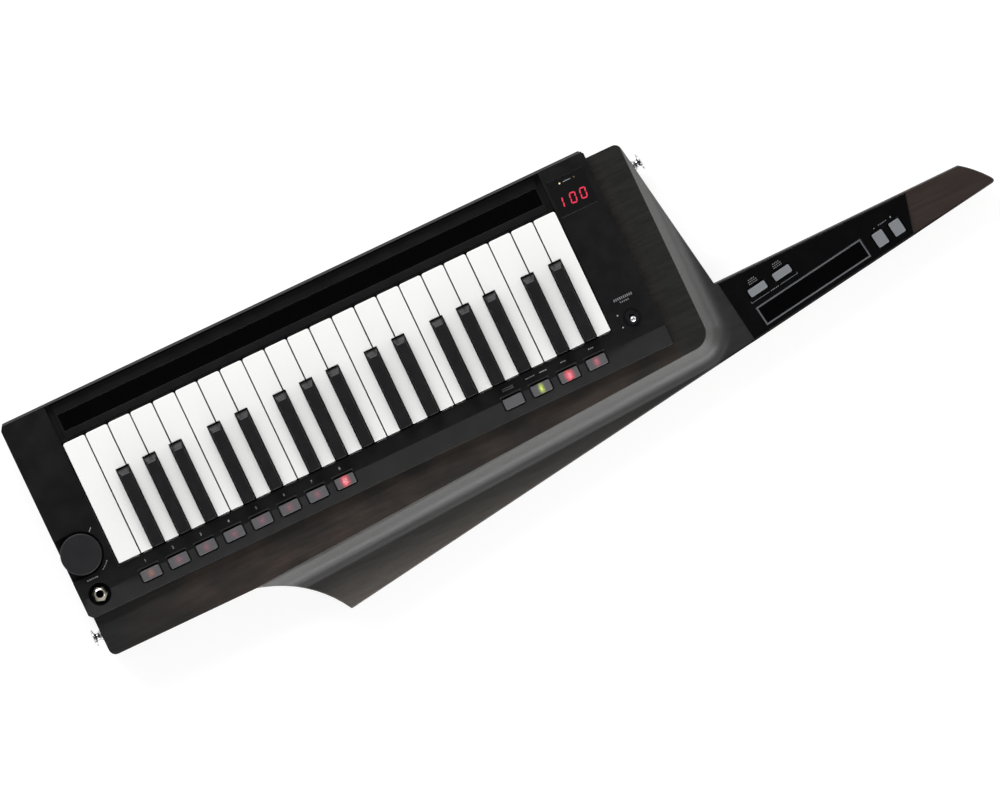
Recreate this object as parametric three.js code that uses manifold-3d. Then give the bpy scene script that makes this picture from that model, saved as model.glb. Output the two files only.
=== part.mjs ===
// A keyboard worn on a strap like a guitar: 37 slim keys and their controls in a black case, which is
// set into a stained wooden body with a spike below and a short neck on the right.
// Lengths are millimetres and +Z is up. The instrument lies on its back with the keys on top. While it
// is drawn, X runs along the keys towards the neck, Y points from the key pivots to the key fronts, and
// the front left corner of the row of keys is X 0, Y 0.

import * as THREE from 'three';
import { mergeVertices } from 'three/addons/utils/BufferGeometryUtils.js';
import Module from 'manifold-3d';

const wasm = await Module();
wasm.setup();

// Fits
const GAP = 0.3; // between pieces that rest on each other or pass closely
const OVERRUN = 2; // how far a cut runs past the face that it opens
const MERGE_DISTANCE = 1e-4; // points closer than this are one point
const HIDDEN_SIDES = 8; // sides of a small round that stays inside
const BORE_SIDES = 12; // sides of a bore that shows
const ROUND_SIDES = 20; // sides of a round that shows
const DIAL_SIDES = 36; // sides of the large dial
const CORNER_STEPS = 4; // straight steps round a corner

// Heights of the levels, from the back of the body upwards
const LEDGE_HEIGHT = 34; // neck and the low ledge round the body
const STEP_HEIGHT = 16; // from the ledge up to the high flat of the body
const CASE_RISE = 12; // from the high flat up to the top of the case
const KEY_PROUD = 4; // white keys above the top of the case
const BLACK_RISE = 9; // black keys above the white ones
const HIGH_FLAT = LEDGE_HEIGHT + STEP_HEIGHT;
const CASE_TOP = HIGH_FLAT + CASE_RISE;
const WHITE_TOP = CASE_TOP + KEY_PROUD;

// Keys
const OCTAVES = 3;
const WHITES_IN_OCTAVE = 7;
const WHITE_COUNT = OCTAVES * WHITES_IN_OCTAVE + 1;
const WHITE_PITCH = 20.4;
const KEY_SPACING = 1; // gap between two white keys
const WHITE_LENGTH = 108.5;
const WHITE_DEPTH = 11; // height of a key's side wall
const LIP_DEPTH = 2.5; // how far the front wall hangs below the side walls
const WHITE_CORNER = 1.6; // rounding of the two front corners
const KEY_WALL = 1.8;
const KEY_SKIN = 2.4; // thickness of the playing surface
const BLACK_WIDTH = 10.5;
const BLACK_TAPER = 1.3; // each side leans in by this much
const BLACK_SETBACK = 38.8; // from the white fronts back to the black fronts
const BLACK_SLOPE = 5.2; // run of the sloping front of a black key
const BLACK_NOSE = 2; // rounding where that slope meets the top
const BLACK_SKIRT = 10; // how far a black key reaches below the white tops
const NOTCH_SIDE_GAP = 0.6;
const NOTCH_FRONT_GAP = 1.2;
// Where a black key stands against the gap between its two white keys, as a share of the pitch,
// by the white key on its right
const BLACK_SHIFT_SHARES = { a: -0.2, g: -0.02, f: 0.16, d: -0.13, c: 0.093 };
const LETTERS_DOWN = ['b', 'a', 'g', 'f', 'e', 'd', 'c'];
const KEYBOARD_WIDTH = WHITE_COUNT * WHITE_PITCH;

// Key pivots
const PIVOT_SETBACK = 5.5; // behind the visible end of the keys
const PIVOT_DROP = 12; // below the white tops
const ROD_RADIUS = 1.5;
const ROD_PLAY = 0.5; // clearance in the key's bore
const TAIL_REACH = 3.4; // tail around the pivot, from its axis
const TAIL_INSET = 1; // a tail is narrower than its key by this much on each side
const KEY_TRAVEL = 7; // at the front of a white key
const PIVOT_Y = -WHITE_LENGTH - PIVOT_SETBACK;
const PIVOT_Z = WHITE_TOP - PIVOT_DROP;

// Case
const CASE_WALL = 2.5;
const LEFT_CHEEK = 41; // case left of the keys
const RIGHT_CHEEK = 41.7;
const TRAY_WIDTH = 34; // from the key fronts to the front rim
const STRIP_WIDTH = 32; // from the key ends to the back edge of the case
const BAND_WIDTH = 17; // sloping band along that edge
const BAND_DROP = 4;
const KEY_WINDOW_GAP = 0.6; // beside the outer keys
const KEY_END_GAP = 1.2; // before and behind the keys
const TRAY_DEPTH = 8;
const CASE_EDGE_ROUND = 2.4; // along the front edge
const CASE_CORNER_ALONG = 3.5; // cut corners of the case, along X and along Y
const CASE_CORNER_ACROSS = 5.5;
const SKIRT_LIFT = 1; // the case's skirt ends this far above the back
const SEAT_WIDTH = 6.5; // the case rests on the wood with this much of its edge
const CASE_LEFT = -LEFT_CHEEK;
const CASE_RIGHT = KEYBOARD_WIDTH + RIGHT_CHEEK;
const CASE_FRONT = TRAY_WIDTH + CASE_WALL;
const CASE_BACK = -WHITE_LENGTH - STRIP_WIDTH;
const FOLD_Y = CASE_BACK + BAND_WIDTH;
const BAND_ANGLE = Math.atan(BAND_DROP / BAND_WIDTH);
const TRAY_FLOOR = CASE_TOP - TRAY_DEPTH;
const WINDOW_LEFT = -KEY_WINDOW_GAP;
const WINDOW_RIGHT = KEYBOARD_WIDTH + KEY_WINDOW_GAP;

// Wooden body, in plan
const WOOD_INSET_LEFT = 3; // the case overhangs the wood on the left
const WOOD_INSET_FRONT = 8; // and at the front
const WOOD_BEHIND = 35; // from the case back to the long back edge
const RIGHT_FLAT = 29; // from the case to the edge of the high flat
const TAIL_CORNER = 6;
const SHOULDER_CORNER = 6;
const SCALLOP_START = 131; // along the back edge, where the hollow towards the spike begins
const SPIKE_ALONG = 195.5;
const SPIKE_OUT = 48.8; // how far the spike stands out past the back edge
const SCALLOP_SAG = 8.5;
const SCALLOP_STEPS = 10;
const SPIKE_ROUND = 2;
const SHOULDER_RUN = 22.5; // how far the shoulder leans towards the neck
const NECK_LENGTH = 247;
const NECK_TOP_FORWARD = 30.8; // from the back edge of the case to the neck's upper edge
const NECK_TOP_RISE = 1.7;
const NECK_TIP_WIDTH = 25; // height of the curved end
const NECK_TIP_CUT = 24; // the upper edge ends this much earlier
const TIP_SAG = 1.6;
const TIP_STEPS = 5;
const TIP_ROUND = 2.5;
const WOOD_LEFT = CASE_LEFT + WOOD_INSET_LEFT;
const WOOD_FRONT = CASE_FRONT - WOOD_INSET_FRONT;
const WOOD_BACK = CASE_BACK - WOOD_BEHIND;
const FLAT_RIGHT = CASE_RIGHT + RIGHT_FLAT;
const SPIKE = { x: WOOD_LEFT + SPIKE_ALONG, y: WOOD_BACK - SPIKE_OUT };
const NECK_ROOT = { x: FLAT_RIGHT + SHOULDER_RUN, y: CASE_BACK + NECK_TOP_FORWARD };
const NECK_TIP = { x: NECK_ROOT.x + NECK_LENGTH, y: NECK_ROOT.y + NECK_TOP_RISE - NECK_TIP_WIDTH };
const NECK_END = { x: NECK_TIP.x - NECK_TIP_CUT, y: NECK_ROOT.y + NECK_TOP_RISE };
const NECK_TILT = Math.atan2(NECK_TIP.y - SPIKE.y, NECK_TIP.x - SPIKE.x);

// Wooden body, cove and hollows
const FLAT_EDGE_RISE = 23.4; // the long edge of the high flat climbs this much towards the neck
const FLAT_CORNER = 14;
const COVE_BACK_WIDTH = 21;
const COVE_SIDE_WIDTH = 24;
const COVE_SLOPE_SHARE = 0.25; // straight part of the cove, as a share of its height
const COVE_STEPS = 9;
const WELL_RIGHT = CASE_RIGHT - SEAT_WIDTH;
const WELL_BACK = CASE_BACK + SEAT_WIDTH;
const NECK_RELIEF = 7; // the back of the neck is raised by this much
const RELIEF_START = 20; // from the neck's root
const RELIEF_RUN = 45;
const RELIEF_STEPS = 6;

// Neck panel and what it carries
const NECK_PLATE = 3;
const NECK_PLATE_PROUD = 1;
const NECK_PLATE_START = 3; // from the neck's root
const NECK_PLATE_LENGTH = 171;
const NECK_PLATE_SLANT = 7.7;
const NECK_TOP_MARGIN = 2;
const NECK_BACK_MARGIN = 1.4;
const POCKET_INSET = 3;
const POCKET_FLOOR = 14;
const NECK_TOP = LEDGE_HEIGHT + NECK_PLATE_PROUD;
const CABLE_SLOT_WIDTH = 16;
const CABLE_SLOT_HEIGHT = 6;
const CABLE_SLOT_DROP = 17; // from the neck's upper edge to the middle of the slot
const CABLE_RUN = 20; // how far the slot runs past the neck's root

// Ribbons
const LONG_RIBBON_INSET = 4.5; // bezel of the long ribbon from the keyboard's ends
const LONG_RIBBON_START = 3; // bezel from the key fronts
const LONG_FILM_INSET = 2;
const LONG_FILM_START = 5.7;
const LONG_FILM_WIDTH = 15;
const SHORT_RIBBON_LENGTH = 103;
const SHORT_RIBBON_WIDTH = 17;
const SHORT_RIM = 1.2;
const SHORT_RIBBON_ALONG = 74.5; // its middle, from the neck's root
const SHORT_RIBBON_SHARE = 0.2815; // across the neck, from its lower edge
const RIBBON_PLATE = 1.6;
const RIBBON_RECESS = 1.3;
const FILM_SINK = 0.4;

// Buttons
const BUTTON_LENGTH = 17;
const BUTTON_WIDTH = 9.2;
const BUTTON_CORNER = 1;
const BUTTON_PITCH = 25.27;
const BUTTON_BEHIND = 3.4; // the fold
const BUTTON_Y = FOLD_Y - BUTTON_BEHIND;
const PROGRAM_COUNT = 8;
const PROGRAM_START = 20.9; // middle of the first one
const FUNCTION_COUNT = 4;
const FUNCTION_START = 351.2;
const BUTTON_PROUD = 1.8;
const BUTTON_BEVEL = 0.5;
const BUTTON_GAP = 1.1;
const BUTTON_TRAVEL = 1.2;
const FLANGE_DROP = 0.9; // from the panel's underside to the flange
const FLANGE_THICK = 1.2;
const FLANGE_REACH = 1.7;
const STEM_SIZE = 3.4;
const STEM_LENGTH = 3;
const BAR_LENGTH = 16.4; // the two long buttons on the neck
const BAR_WIDTH = 6.8;
const BAR_ALONG = 30.5;
const BAR_SHARE = 0.6345; // across the neck, from its lower edge
const BAR_PITCH = 24.1;
const SQUARE_LENGTH = 10; // the two tall buttons on the neck
const SQUARE_WIDTH = 12.6;
const SQUARE_CORNER = 1;
const SQUARE_ALONG = 139.7;
const SQUARE_SHARE = 0.332;
const SQUARE_PITCH = 16.5;

// Dial, jack and toggle switch
const DIAL_X = -24.7;
const DIAL_FORWARD = 52.1; // from the back edge of the case
const DIAL_Y = CASE_BACK + DIAL_FORWARD;
const DIAL_RADIUS = 17.2;
const DIAL_HEIGHT = 14.4;
const DIAL_CHAMFER = 1;
const DIAL_WALL = 2.2;
const DIAL_HOLLOW = 3;
const DIAL_LIFT = 0.6; // above the floor of its recess
const DIAL_GAP = 1.4;
const DIAL_RECESS = 7;
const SPINDLE_RADIUS = 3;
const POT_RADIUS = 8;
const JACK_X = DIAL_X;
const JACK_FORWARD = 16.1;
const JACK_Y = CASE_BACK + JACK_FORWARD;
const JACK_RECESS_RADIUS = 9.5;
const JACK_NUT_RADIUS = 6.7;
const JACK_NUT_HEIGHT = 3;
const JACK_BUSH_RADIUS = 4.7;
const JACK_BORE_RADIUS = 3.25;
const JACK_BORE_DEPTH = 27;
const JACK_BODY_SIZE = 14;
const JACK_BODY_LENGTH = 26;
const TOGGLE_BESIDE = 20.1; // right of the keyboard
const TOGGLE_FORWARD = 34.2;
const TOGGLE_X = KEYBOARD_WIDTH + TOGGLE_BESIDE;
const TOGGLE_Y = CASE_BACK + TOGGLE_FORWARD;
const TOGGLE_DISH_RADIUS = 8.2;
const TOGGLE_DISH_DEPTH = 1.7;
const TOGGLE_BUSH_RADIUS = 4;
const TOGGLE_BUSH_BORE = 2.9;
const TOGGLE_BALL = 2.2;
const TOGGLE_STEM = 1.2;
const TOGGLE_TIP = 2.9;
const TOGGLE_LENGTH = 12.5;
const TOGGLE_SINK = 4; // pivot below the top of the case
const TOGGLE_BODY_SIZE = 12;
const TOGGLE_TILT = 10 * Math.PI / 180;

// Display
const DISPLAY_BESIDE = 19.2; // right of the keyboard
const DISPLAY_X = KEYBOARD_WIDTH + DISPLAY_BESIDE;
const DISPLAY_Y = 8;
const DISPLAY_LENGTH = 29;
const DISPLAY_WIDTH = 27;
const GLASS_SINK = 0.4; // the smoked window lies this much below the case

// Strap pins
const PIN_REACH = 8.4;
const PIN_HEAD_RADIUS = 7.4;
const PIN_HEAD_THICK = 2.6;
const PIN_NECK_RADIUS = 3;
const PIN_FOOT_RADIUS = 4.6;
const PIN_FOOT_THICK = 1.6;
const PIN_SCREW_RADIUS = 2;
const PIN_SCREW_LENGTH = 20;
const TAIL_PIN_BEHIND = 15; // the case
const TAIL_PIN_Y = CASE_BACK - TAIL_PIN_BEHIND;
const SHOULDER_PIN_DROP = 22.5; // from the front of the wood

// Inside the case
const COVER_THICK = 3;
const BED_FLOOR = 30;
const BED_PLATE = 3;
const RAIL_START = 4;
const RAIL_WIDTH = 12;
const FIN_THICK = 1.6;
const BOARD_Z = 44;
const BOARD_THICK = 1.6;
const BOARD_EDGE = 3.5; // board from the case's left wall and from the key window
const POST_RADIUS = 3.5;
const SWITCH_SIZE = 6;
const SWITCH_HEIGHT = 3.5;
const PLUNGER_RADIUS = 1.7;
const NECK_BOARD_Z = 20;
const CABLE_THICK = 0.8;
const CABLE_WIDTH = 10;

// Battery bay for six AA cells in two rows, opening at the back
const BAY_X = 150;
const BAY_FORWARD = 45.5; // from the back edge of the case
const BAY_Y = CASE_BACK + BAY_FORWARD;
const BAY_LENGTH = 160;
const BAY_WIDTH = 34;
const BAY_DEPTH = 17;
const BAY_WALL = 1.8;
const DOOR_THICK = 2;
const DOOR_LEDGE = 3;

// Connectors on the tail side: audio output, five-pin, data and power
const SOCKET_Z = 32;
const OUTPUT_Y = 22;
const FIVE_PIN_Y = -2;
const DATA_Y = -25;
const POWER_Y = -44;
const SOCKET_DEPTH = 18;
const FIVE_PIN_RADIUS = 7.6;
const DATA_SIZE = 8.6;
const POWER_RADIUS = 3.3;
const POWER_PIN = 1;
const SOCKET_WALL = 1.6;

// Small helpers that turn points into solids

function solid(geometry) {
  const bare = geometry.clone();
  bare.deleteAttribute('normal');
  bare.deleteAttribute('uv');
  const merged = mergeVertices(bare, MERGE_DISTANCE);
  const corners = merged.index.array;
  const kept = [];
  for (let i = 0; i < corners.length; i += 3) {
    const face = [corners[i], corners[i + 1], corners[i + 2]];
    if (new Set(face).size === face.length) kept.push(...face);
  }
  return new wasm.Manifold(new wasm.Mesh({
    numProp: 3,
    vertProperties: Float32Array.from(merged.attributes.position.array),
    triVerts: Uint32Array.from(kept),
  }));
}

function join(solids) {
  return solids.reduce((whole, next) => whole.add(next));
}

function cut(whole, cutters) {
  return cutters.reduce((rest, cutter) => rest.subtract(cutter), whole);
}

function block(x0, x1, y0, y1, z0, z1) {
  const geometry = new THREE.BoxGeometry(x1 - x0, y1 - y0, z1 - z0);
  geometry.translate((x0 + x1) / 2, (y0 + y1) / 2, (z0 + z1) / 2);
  return solid(geometry);
}

function extruded(points, length) {
  const shape = new THREE.Shape(points.map(({ x, y }) => new THREE.Vector2(x, y)));
  return new THREE.ExtrudeGeometry(shape, { depth: length, bevelEnabled: false, steps: 1 });
}

// Points are X, Y and the prism stands along Z
function upright(points, z0, z1) {
  const geometry = extruded(points, z1 - z0);
  geometry.translate(0, 0, z0);
  return solid(geometry);
}

// Points are Y, Z and the bar runs along X
function barAlongX(points, x0, x1) {
  const geometry = extruded(points, x1 - x0);
  const turn = new THREE.Matrix4().makeBasis(
    new THREE.Vector3(0, 1, 0), new THREE.Vector3(0, 0, 1), new THREE.Vector3(1, 0, 0));
  geometry.applyMatrix4(turn);
  geometry.translate(x0, 0, 0);
  return solid(geometry);
}

// Points are X, Z and the bar runs along Y
function barAlongY(points, y0, y1) {
  const geometry = extruded(points, y1 - y0);
  const turn = new THREE.Matrix4().makeBasis(
    new THREE.Vector3(1, 0, 0), new THREE.Vector3(0, 0, 1), new THREE.Vector3(0, -1, 0));
  geometry.applyMatrix4(turn);
  geometry.translate(0, y1, 0);
  return solid(geometry);
}

// Points are radius, height, from the axis at the bottom to the axis at the top
function turned(points, sides = ROUND_SIDES) {
  const profile = points.map(([radius, height]) => new THREE.Vector2(radius, height));
  const geometry = new THREE.LatheGeometry(profile, sides);
  geometry.rotateX(Math.PI / 2);
  return solid(geometry);
}

function drum(x, y, z0, z1, radius, sides = ROUND_SIDES) {
  const geometry = new THREE.CylinderGeometry(radius, radius, z1 - z0, sides);
  geometry.rotateX(Math.PI / 2);
  geometry.translate(x, y, (z0 + z1) / 2);
  return solid(geometry);
}

function axle(x0, x1, y, z, radius, sides = HIDDEN_SIDES) {
  const geometry = new THREE.CylinderGeometry(radius, radius, x1 - x0, sides);
  geometry.rotateZ(Math.PI / 2);
  geometry.translate((x0 + x1) / 2, y, z);
  return solid(geometry);
}

// The points of an arc from a to b that bows by sag to the left of the way from a to b
function arc(a, b, sag, steps) {
  const half = Math.hypot(b.x - a.x, b.y - a.y) / 2;
  const side = Math.sign(sag);
  const radius = (half * half + sag * sag) / (2 * Math.abs(sag));
  const along = { x: (b.x - a.x) / (2 * half), y: (b.y - a.y) / (2 * half) };
  const left = { x: -along.y * side, y: along.x * side };
  const reach = radius - Math.abs(sag);
  const centre = { x: (a.x + b.x) / 2 - left.x * reach, y: (a.y + b.y) / 2 - left.y * reach };
  const sweep = Math.asin(half / radius);
  const points = [];
  for (let i = 0; i <= steps; i += 1) {
    const angle = sweep * (2 * i / steps - 1);
    points.push({
      x: centre.x + radius * (left.x * Math.cos(angle) + along.x * Math.sin(angle)),
      y: centre.y + radius * (left.y * Math.cos(angle) + along.y * Math.sin(angle)),
    });
  }
  return points;
}

// An outline whose points may carry a corner radius r
function rounded(points, steps = CORNER_STEPS) {
  const outline = [];
  points.forEach((corner, i) => {
    if (!corner.r) {
      outline.push(corner);
      return;
    }
    const here = new THREE.Vector2(corner.x, corner.y);
    const before = points[(i + points.length - 1) % points.length];
    const after = points[(i + 1) % points.length];
    const back = new THREE.Vector2(before.x, before.y).sub(here).normalize();
    const ahead = new THREE.Vector2(after.x, after.y).sub(here).normalize();
    const half = Math.acos(THREE.MathUtils.clamp(back.dot(ahead), -1, 1)) / 2;
    const reach = corner.r / Math.tan(half);
    const a = here.clone().addScaledVector(back, reach);
    const b = here.clone().addScaledVector(ahead, reach);
    const turnsLeft = back.cross(ahead) < 0;
    const sag = corner.r * (1 - Math.sin(half)) * (turnsLeft ? -1 : 1);
    outline.push(...arc(a, b, sag, steps));
  });
  return outline;
}

function rectangle(length, width, corner) {
  return rounded([
    { x: -length / 2, y: -width / 2, r: corner },
    { x: length / 2, y: -width / 2, r: corner },
    { x: length / 2, y: width / 2, r: corner },
    { x: -length / 2, y: width / 2, r: corner },
  ], CORNER_STEPS / 2);
}

function spot(x, y) {
  return { x, y };
}

// A solid drawn round the origin, turned about one axis and moved to its place
function placed(shape, x, y, z, turnX = 0, turnZ = 0) {
  const degrees = 180 / Math.PI;
  return shape.rotate([turnX * degrees, 0, turnZ * degrees]).translate([x, y, z]);
}

// Finishes

function finish(colour, roughness, metalness = 0) {
  return () => new THREE.MeshStandardMaterial({ color: colour, roughness, metalness });
}

const stainedWood = finish(0x2a1d1a, 0.42);
const caseBlack = finish(0x1b1b1d, 0.45);
const neckBlack = finish(0x0c0c0e, 0.15);
const coverBlack = finish(0x161617, 0.6);
const ivoryWhite = finish(0xf2f0ea, 0.28);
const keyBlack = finish(0x17171a, 0.4);
const capGrey = finish(0x8d8a8c, 0.55);
const lightGrey = finish(0xb9babd, 0.5);
const filmBlack = finish(0x060607, 0.22);
const chrome = finish(0xd9dadc, 0.15, 1);
const bedGrey = finish(0x3a3b3e, 0.6);
const boardGreen = finish(0x1f5a3a, 0.55);

const keytar = new THREE.Group();

function piece(name, shape, material, parent = keytar) {
  const { vertProperties, triVerts } = shape.getMesh();
  const geometry = new THREE.BufferGeometry();
  geometry.setAttribute('position', new THREE.BufferAttribute(vertProperties, 3));
  geometry.setIndex(new THREE.BufferAttribute(triVerts, 1));
  geometry.computeVertexNormals();
  const mesh = new THREE.Mesh(geometry, material());
  mesh.name = name;
  parent.add(mesh);
  return mesh;
}

// Where the keys stand, counted from the left

function whiteNote(index) {
  if (index === 0) return { letter: 'c', octave: OCTAVES + 1 };
  const letter = LETTERS_DOWN[(index - 1) % WHITES_IN_OCTAVE];
  return { letter, octave: OCTAVES + 1 - Math.ceil(index / WHITES_IN_OCTAVE) };
}

// The middle of the black key to the right of a white key, or null where there is none
function blackMiddle(index) {
  if (index < 0 || index >= WHITE_COUNT - 1) return null;
  const share = BLACK_SHIFT_SHARES[whiteNote(index + 1).letter];
  if (share === undefined) return null;
  return (index + 1 + share) * WHITE_PITCH;
}

// The two sides of a white key at its front and between its black neighbours
function whiteSides(index) {
  const clear = BLACK_WIDTH / 2 + NOTCH_SIDE_GAP;
  const left = index * WHITE_PITCH + KEY_SPACING / 2;
  const right = (index + 1) * WHITE_PITCH - KEY_SPACING / 2;
  const blackLeft = blackMiddle(index - 1);
  const blackRight = blackMiddle(index);
  return {
    left,
    right,
    rearLeft: blackLeft === null ? left : blackLeft + clear,
    rearRight: blackRight === null ? right : blackRight - clear,
  };
}

// The tail behind a key, with its bore on the pivot bar
function keyTail(x0, x1) {
  const arm = block(x0, x1, -TAIL_REACH, PIVOT_SETBACK + KEY_WALL / 2, -TAIL_REACH, TAIL_REACH);
  return arm.subtract(axle(x0 - OVERRUN, x1 + OVERRUN, 0, 0, ROD_RADIUS + ROD_PLAY));
}

// A white key, drawn from its pivot: a moulded shell, open below, with a lip at the front
function whiteKey(index) {
  const middle = (index + 1 / 2) * WHITE_PITCH;
  const sides = whiteSides(index);
  const left = sides.left - middle;
  const right = sides.right - middle;
  const rearLeft = sides.rearLeft - middle;
  const rearRight = sides.rearRight - middle;
  const front = WHITE_LENGTH + PIVOT_SETBACK;
  const notch = front - BLACK_SETBACK + NOTCH_FRONT_GAP;
  const top = PIVOT_DROP;
  const bottom = top - WHITE_DEPTH;
  const corners = [
    { x: right, y: front, r: WHITE_CORNER },
    { x: left, y: front, r: WHITE_CORNER },
  ];
  if (rearLeft > left) corners.push(spot(left, notch), spot(rearLeft, notch));
  corners.push(spot(rearLeft, PIVOT_SETBACK), spot(rearRight, PIVOT_SETBACK));
  if (rearRight < right) corners.push(spot(rearRight, notch), spot(right, notch));
  const outline = rounded(corners, CORNER_STEPS / 2);
  const lipBlock = block(left, right, front - KEY_WALL, front, bottom - LIP_DEPTH, bottom + KEY_WALL);
  const lip = lipBlock.intersect(upright(outline, bottom - LIP_DEPTH, bottom + KEY_WALL));
  const shell = cut(upright(outline, bottom, top).add(lip), [
    block(left + KEY_WALL, right - KEY_WALL, notch + KEY_WALL, front - KEY_WALL,
      bottom - OVERRUN, top - KEY_SKIN),
    block(rearLeft + KEY_WALL, rearRight - KEY_WALL, PIVOT_SETBACK + KEY_WALL, notch + 2 * KEY_WALL,
      bottom - OVERRUN, top - KEY_SKIN),
  ]);
  return shell.add(keyTail(rearLeft + TAIL_INSET, rearRight - TAIL_INSET));
}

// A black key, drawn from its pivot: a long side view and a tapered front view meet
function blackKey() {
  const front = WHITE_LENGTH + PIVOT_SETBACK - BLACK_SETBACK;
  const top = PIVOT_DROP + BLACK_RISE;
  const bottom = PIVOT_DROP - BLACK_SKIRT;
  const half = BLACK_WIDTH / 2;
  const sideView = rounded([
    spot(PIVOT_SETBACK, bottom),
    spot(front, bottom),
    spot(front, PIVOT_DROP),
    { x: front - BLACK_SLOPE, y: top, r: BLACK_NOSE },
    spot(PIVOT_SETBACK, top),
  ]);
  const frontView = [
    spot(-half, bottom - OVERRUN),
    spot(half, bottom - OVERRUN),
    spot(half, PIVOT_DROP),
    spot(half - BLACK_TAPER, top + OVERRUN * BLACK_TAPER / BLACK_RISE),
    spot(-half + BLACK_TAPER, top + OVERRUN * BLACK_TAPER / BLACK_RISE),
    spot(-half, PIVOT_DROP),
  ];
  const outside = barAlongX(sideView, -half, half)
    .intersect(barAlongY(frontView, PIVOT_SETBACK - OVERRUN, front + OVERRUN));
  const inside = half - BLACK_TAPER - KEY_WALL;
  const hollow = block(-inside, inside, PIVOT_SETBACK + KEY_WALL, front - BLACK_SLOPE - KEY_WALL,
    bottom - OVERRUN, top - KEY_SKIN);
  const tail = half - TAIL_INSET;
  return outside.subtract(hollow).add(keyTail(-tail, tail));
}

// The wooden body

function flatEdgeY(x) {
  const start = spot(WOOD_LEFT + SCALLOP_START, WOOD_BACK);
  return start.y + (x - start.x) * FLAT_EDGE_RISE / (FLAT_RIGHT - start.x);
}

function shoulderX(y) {
  return FLAT_RIGHT + SHOULDER_RUN * (WOOD_FRONT - y) / (WOOD_FRONT - NECK_ROOT.y);
}

function bodyOutline() {
  const scallopStart = spot(WOOD_LEFT + SCALLOP_START, WOOD_BACK);
  const scallop = arc(scallopStart, SPIKE, SCALLOP_SAG, SCALLOP_STEPS);
  const tip = arc(NECK_TIP, NECK_END, -TIP_SAG, TIP_STEPS);
  return rounded([
    spot(WOOD_LEFT, WOOD_FRONT),
    { x: WOOD_LEFT, y: WOOD_BACK, r: TAIL_CORNER },
    ...scallop.slice(0, -1),
    { ...SPIKE, r: SPIKE_ROUND },
    { ...tip[0], r: TIP_ROUND },
    ...tip.slice(1),
    NECK_ROOT,
    { x: FLAT_RIGHT, y: WOOD_FRONT, r: SHOULDER_CORNER },
  ]);
}

// The high flat's outline, grown by the cove's width at one height. It is convex: the long edge, a
// rounded corner, the right edge, and two far corners that the body's outline trims.
function flatRing(growBack, growSide) {
  const tilt = Math.atan2(FLAT_EDGE_RISE, FLAT_RIGHT - WOOD_LEFT - SCALLOP_START);
  const centre = spot(FLAT_RIGHT - FLAT_CORNER, 0);
  centre.y = flatEdgeY(centre.x) + FLAT_CORNER / Math.cos(tilt);
  const farLeft = WOOD_LEFT - COVE_BACK_WIDTH;
  const farFront = WOOD_FRONT + COVE_BACK_WIDTH;
  const ring = [spot(farLeft, flatEdgeY(farLeft) - growBack / Math.cos(tilt))];
  for (let i = 0; i <= CORNER_STEPS * 2; i += 1) {
    const share = i / (CORNER_STEPS * 2);
    const angle = (tilt - Math.PI / 2) * (1 - share);
    const radius = FLAT_CORNER + growBack * (1 - share) + growSide * share;
    ring.push(spot(centre.x + radius * Math.cos(angle), centre.y + radius * Math.sin(angle)));
  }
  ring.push(spot(FLAT_RIGHT + growSide, farFront), spot(farLeft, farFront));
  return ring;
}

// Rings of equally many points, joined from the lowest to the highest, with a flat cap at each end
function loft(rings, heights) {
  const count = rings[0].length;
  const places = rings.flatMap((ring, level) => ring.flatMap(({ x, y }) => [x, y, heights[level]]));
  const faces = [];
  for (let level = 0; level + 1 < rings.length; level += 1) {
    for (let i = 0; i < count; i += 1) {
      const a = level * count + i;
      const b = level * count + (i + 1) % count;
      faces.push(a, b, b + count, a, b + count, a + count);
    }
  }
  const last = (rings.length - 1) * count;
  for (let i = 1; i + 1 < count; i += 1) {
    faces.push(0, i + 1, i);
    faces.push(last, last + i, last + i + 1);
  }
  const geometry = new THREE.BufferGeometry();
  geometry.setAttribute('position', new THREE.Float32BufferAttribute(places, 3));
  geometry.setIndex(faces);
  return solid(geometry);
}

// The high flat with its cove: a straight slope that runs out in a hollow curve at the ledge
function highFlat() {
  const rings = [];
  const heights = [];
  const hollow = 1 - COVE_SLOPE_SHARE;
  // the hollow curve rises so far that it runs into the straight slope without a break
  const hollowRise = STEP_HEIGHT * hollow / (2 - hollow);
  const addRing = (share, height) => {
    rings.push(flatRing(COVE_BACK_WIDTH * share, COVE_SIDE_WIDTH * share));
    heights.push(height);
  };
  addRing(1, LEDGE_HEIGHT - OVERRUN);
  for (let i = 0; i <= COVE_STEPS; i += 1) {
    const share = i / COVE_STEPS;
    addRing(1 - hollow * share, LEDGE_HEIGHT + hollowRise * share * share);
  }
  addRing(0, HIGH_FLAT);
  return loft(rings, heights);
}

function neckUpperY(x) {
  const share = (x - NECK_ROOT.x) / (NECK_END.x - NECK_ROOT.x);
  return NECK_ROOT.y + (NECK_END.y - NECK_ROOT.y) * share;
}

function neckLowerY(x) {
  return SPIKE.y + (x - SPIKE.x) * Math.tan(NECK_TILT);
}

// The neck panel's outline, drawn in or let out by an inset
function neckQuad(inset) {
  const left = NECK_ROOT.x + NECK_PLATE_START + inset;
  const right = NECK_ROOT.x + NECK_PLATE_START + NECK_PLATE_LENGTH - inset;
  const upper = NECK_TOP_MARGIN + inset;
  const lower = NECK_BACK_MARGIN + inset;
  return [
    spot(left, neckUpperY(left) - upper),
    spot(left + NECK_PLATE_SLANT, neckLowerY(left + NECK_PLATE_SLANT) + lower),
    spot(right - NECK_PLATE_SLANT, neckLowerY(right - NECK_PLATE_SLANT) + lower),
    spot(right, neckUpperY(right) - upper),
  ];
}

// A place on the neck, this far from its root and at this share of its width from the lower edge
function neckPlace(along, share) {
  const x = NECK_ROOT.x + along;
  const lower = neckLowerY(x);
  return spot(x, lower + (neckUpperY(x) - lower) * share);
}

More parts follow.
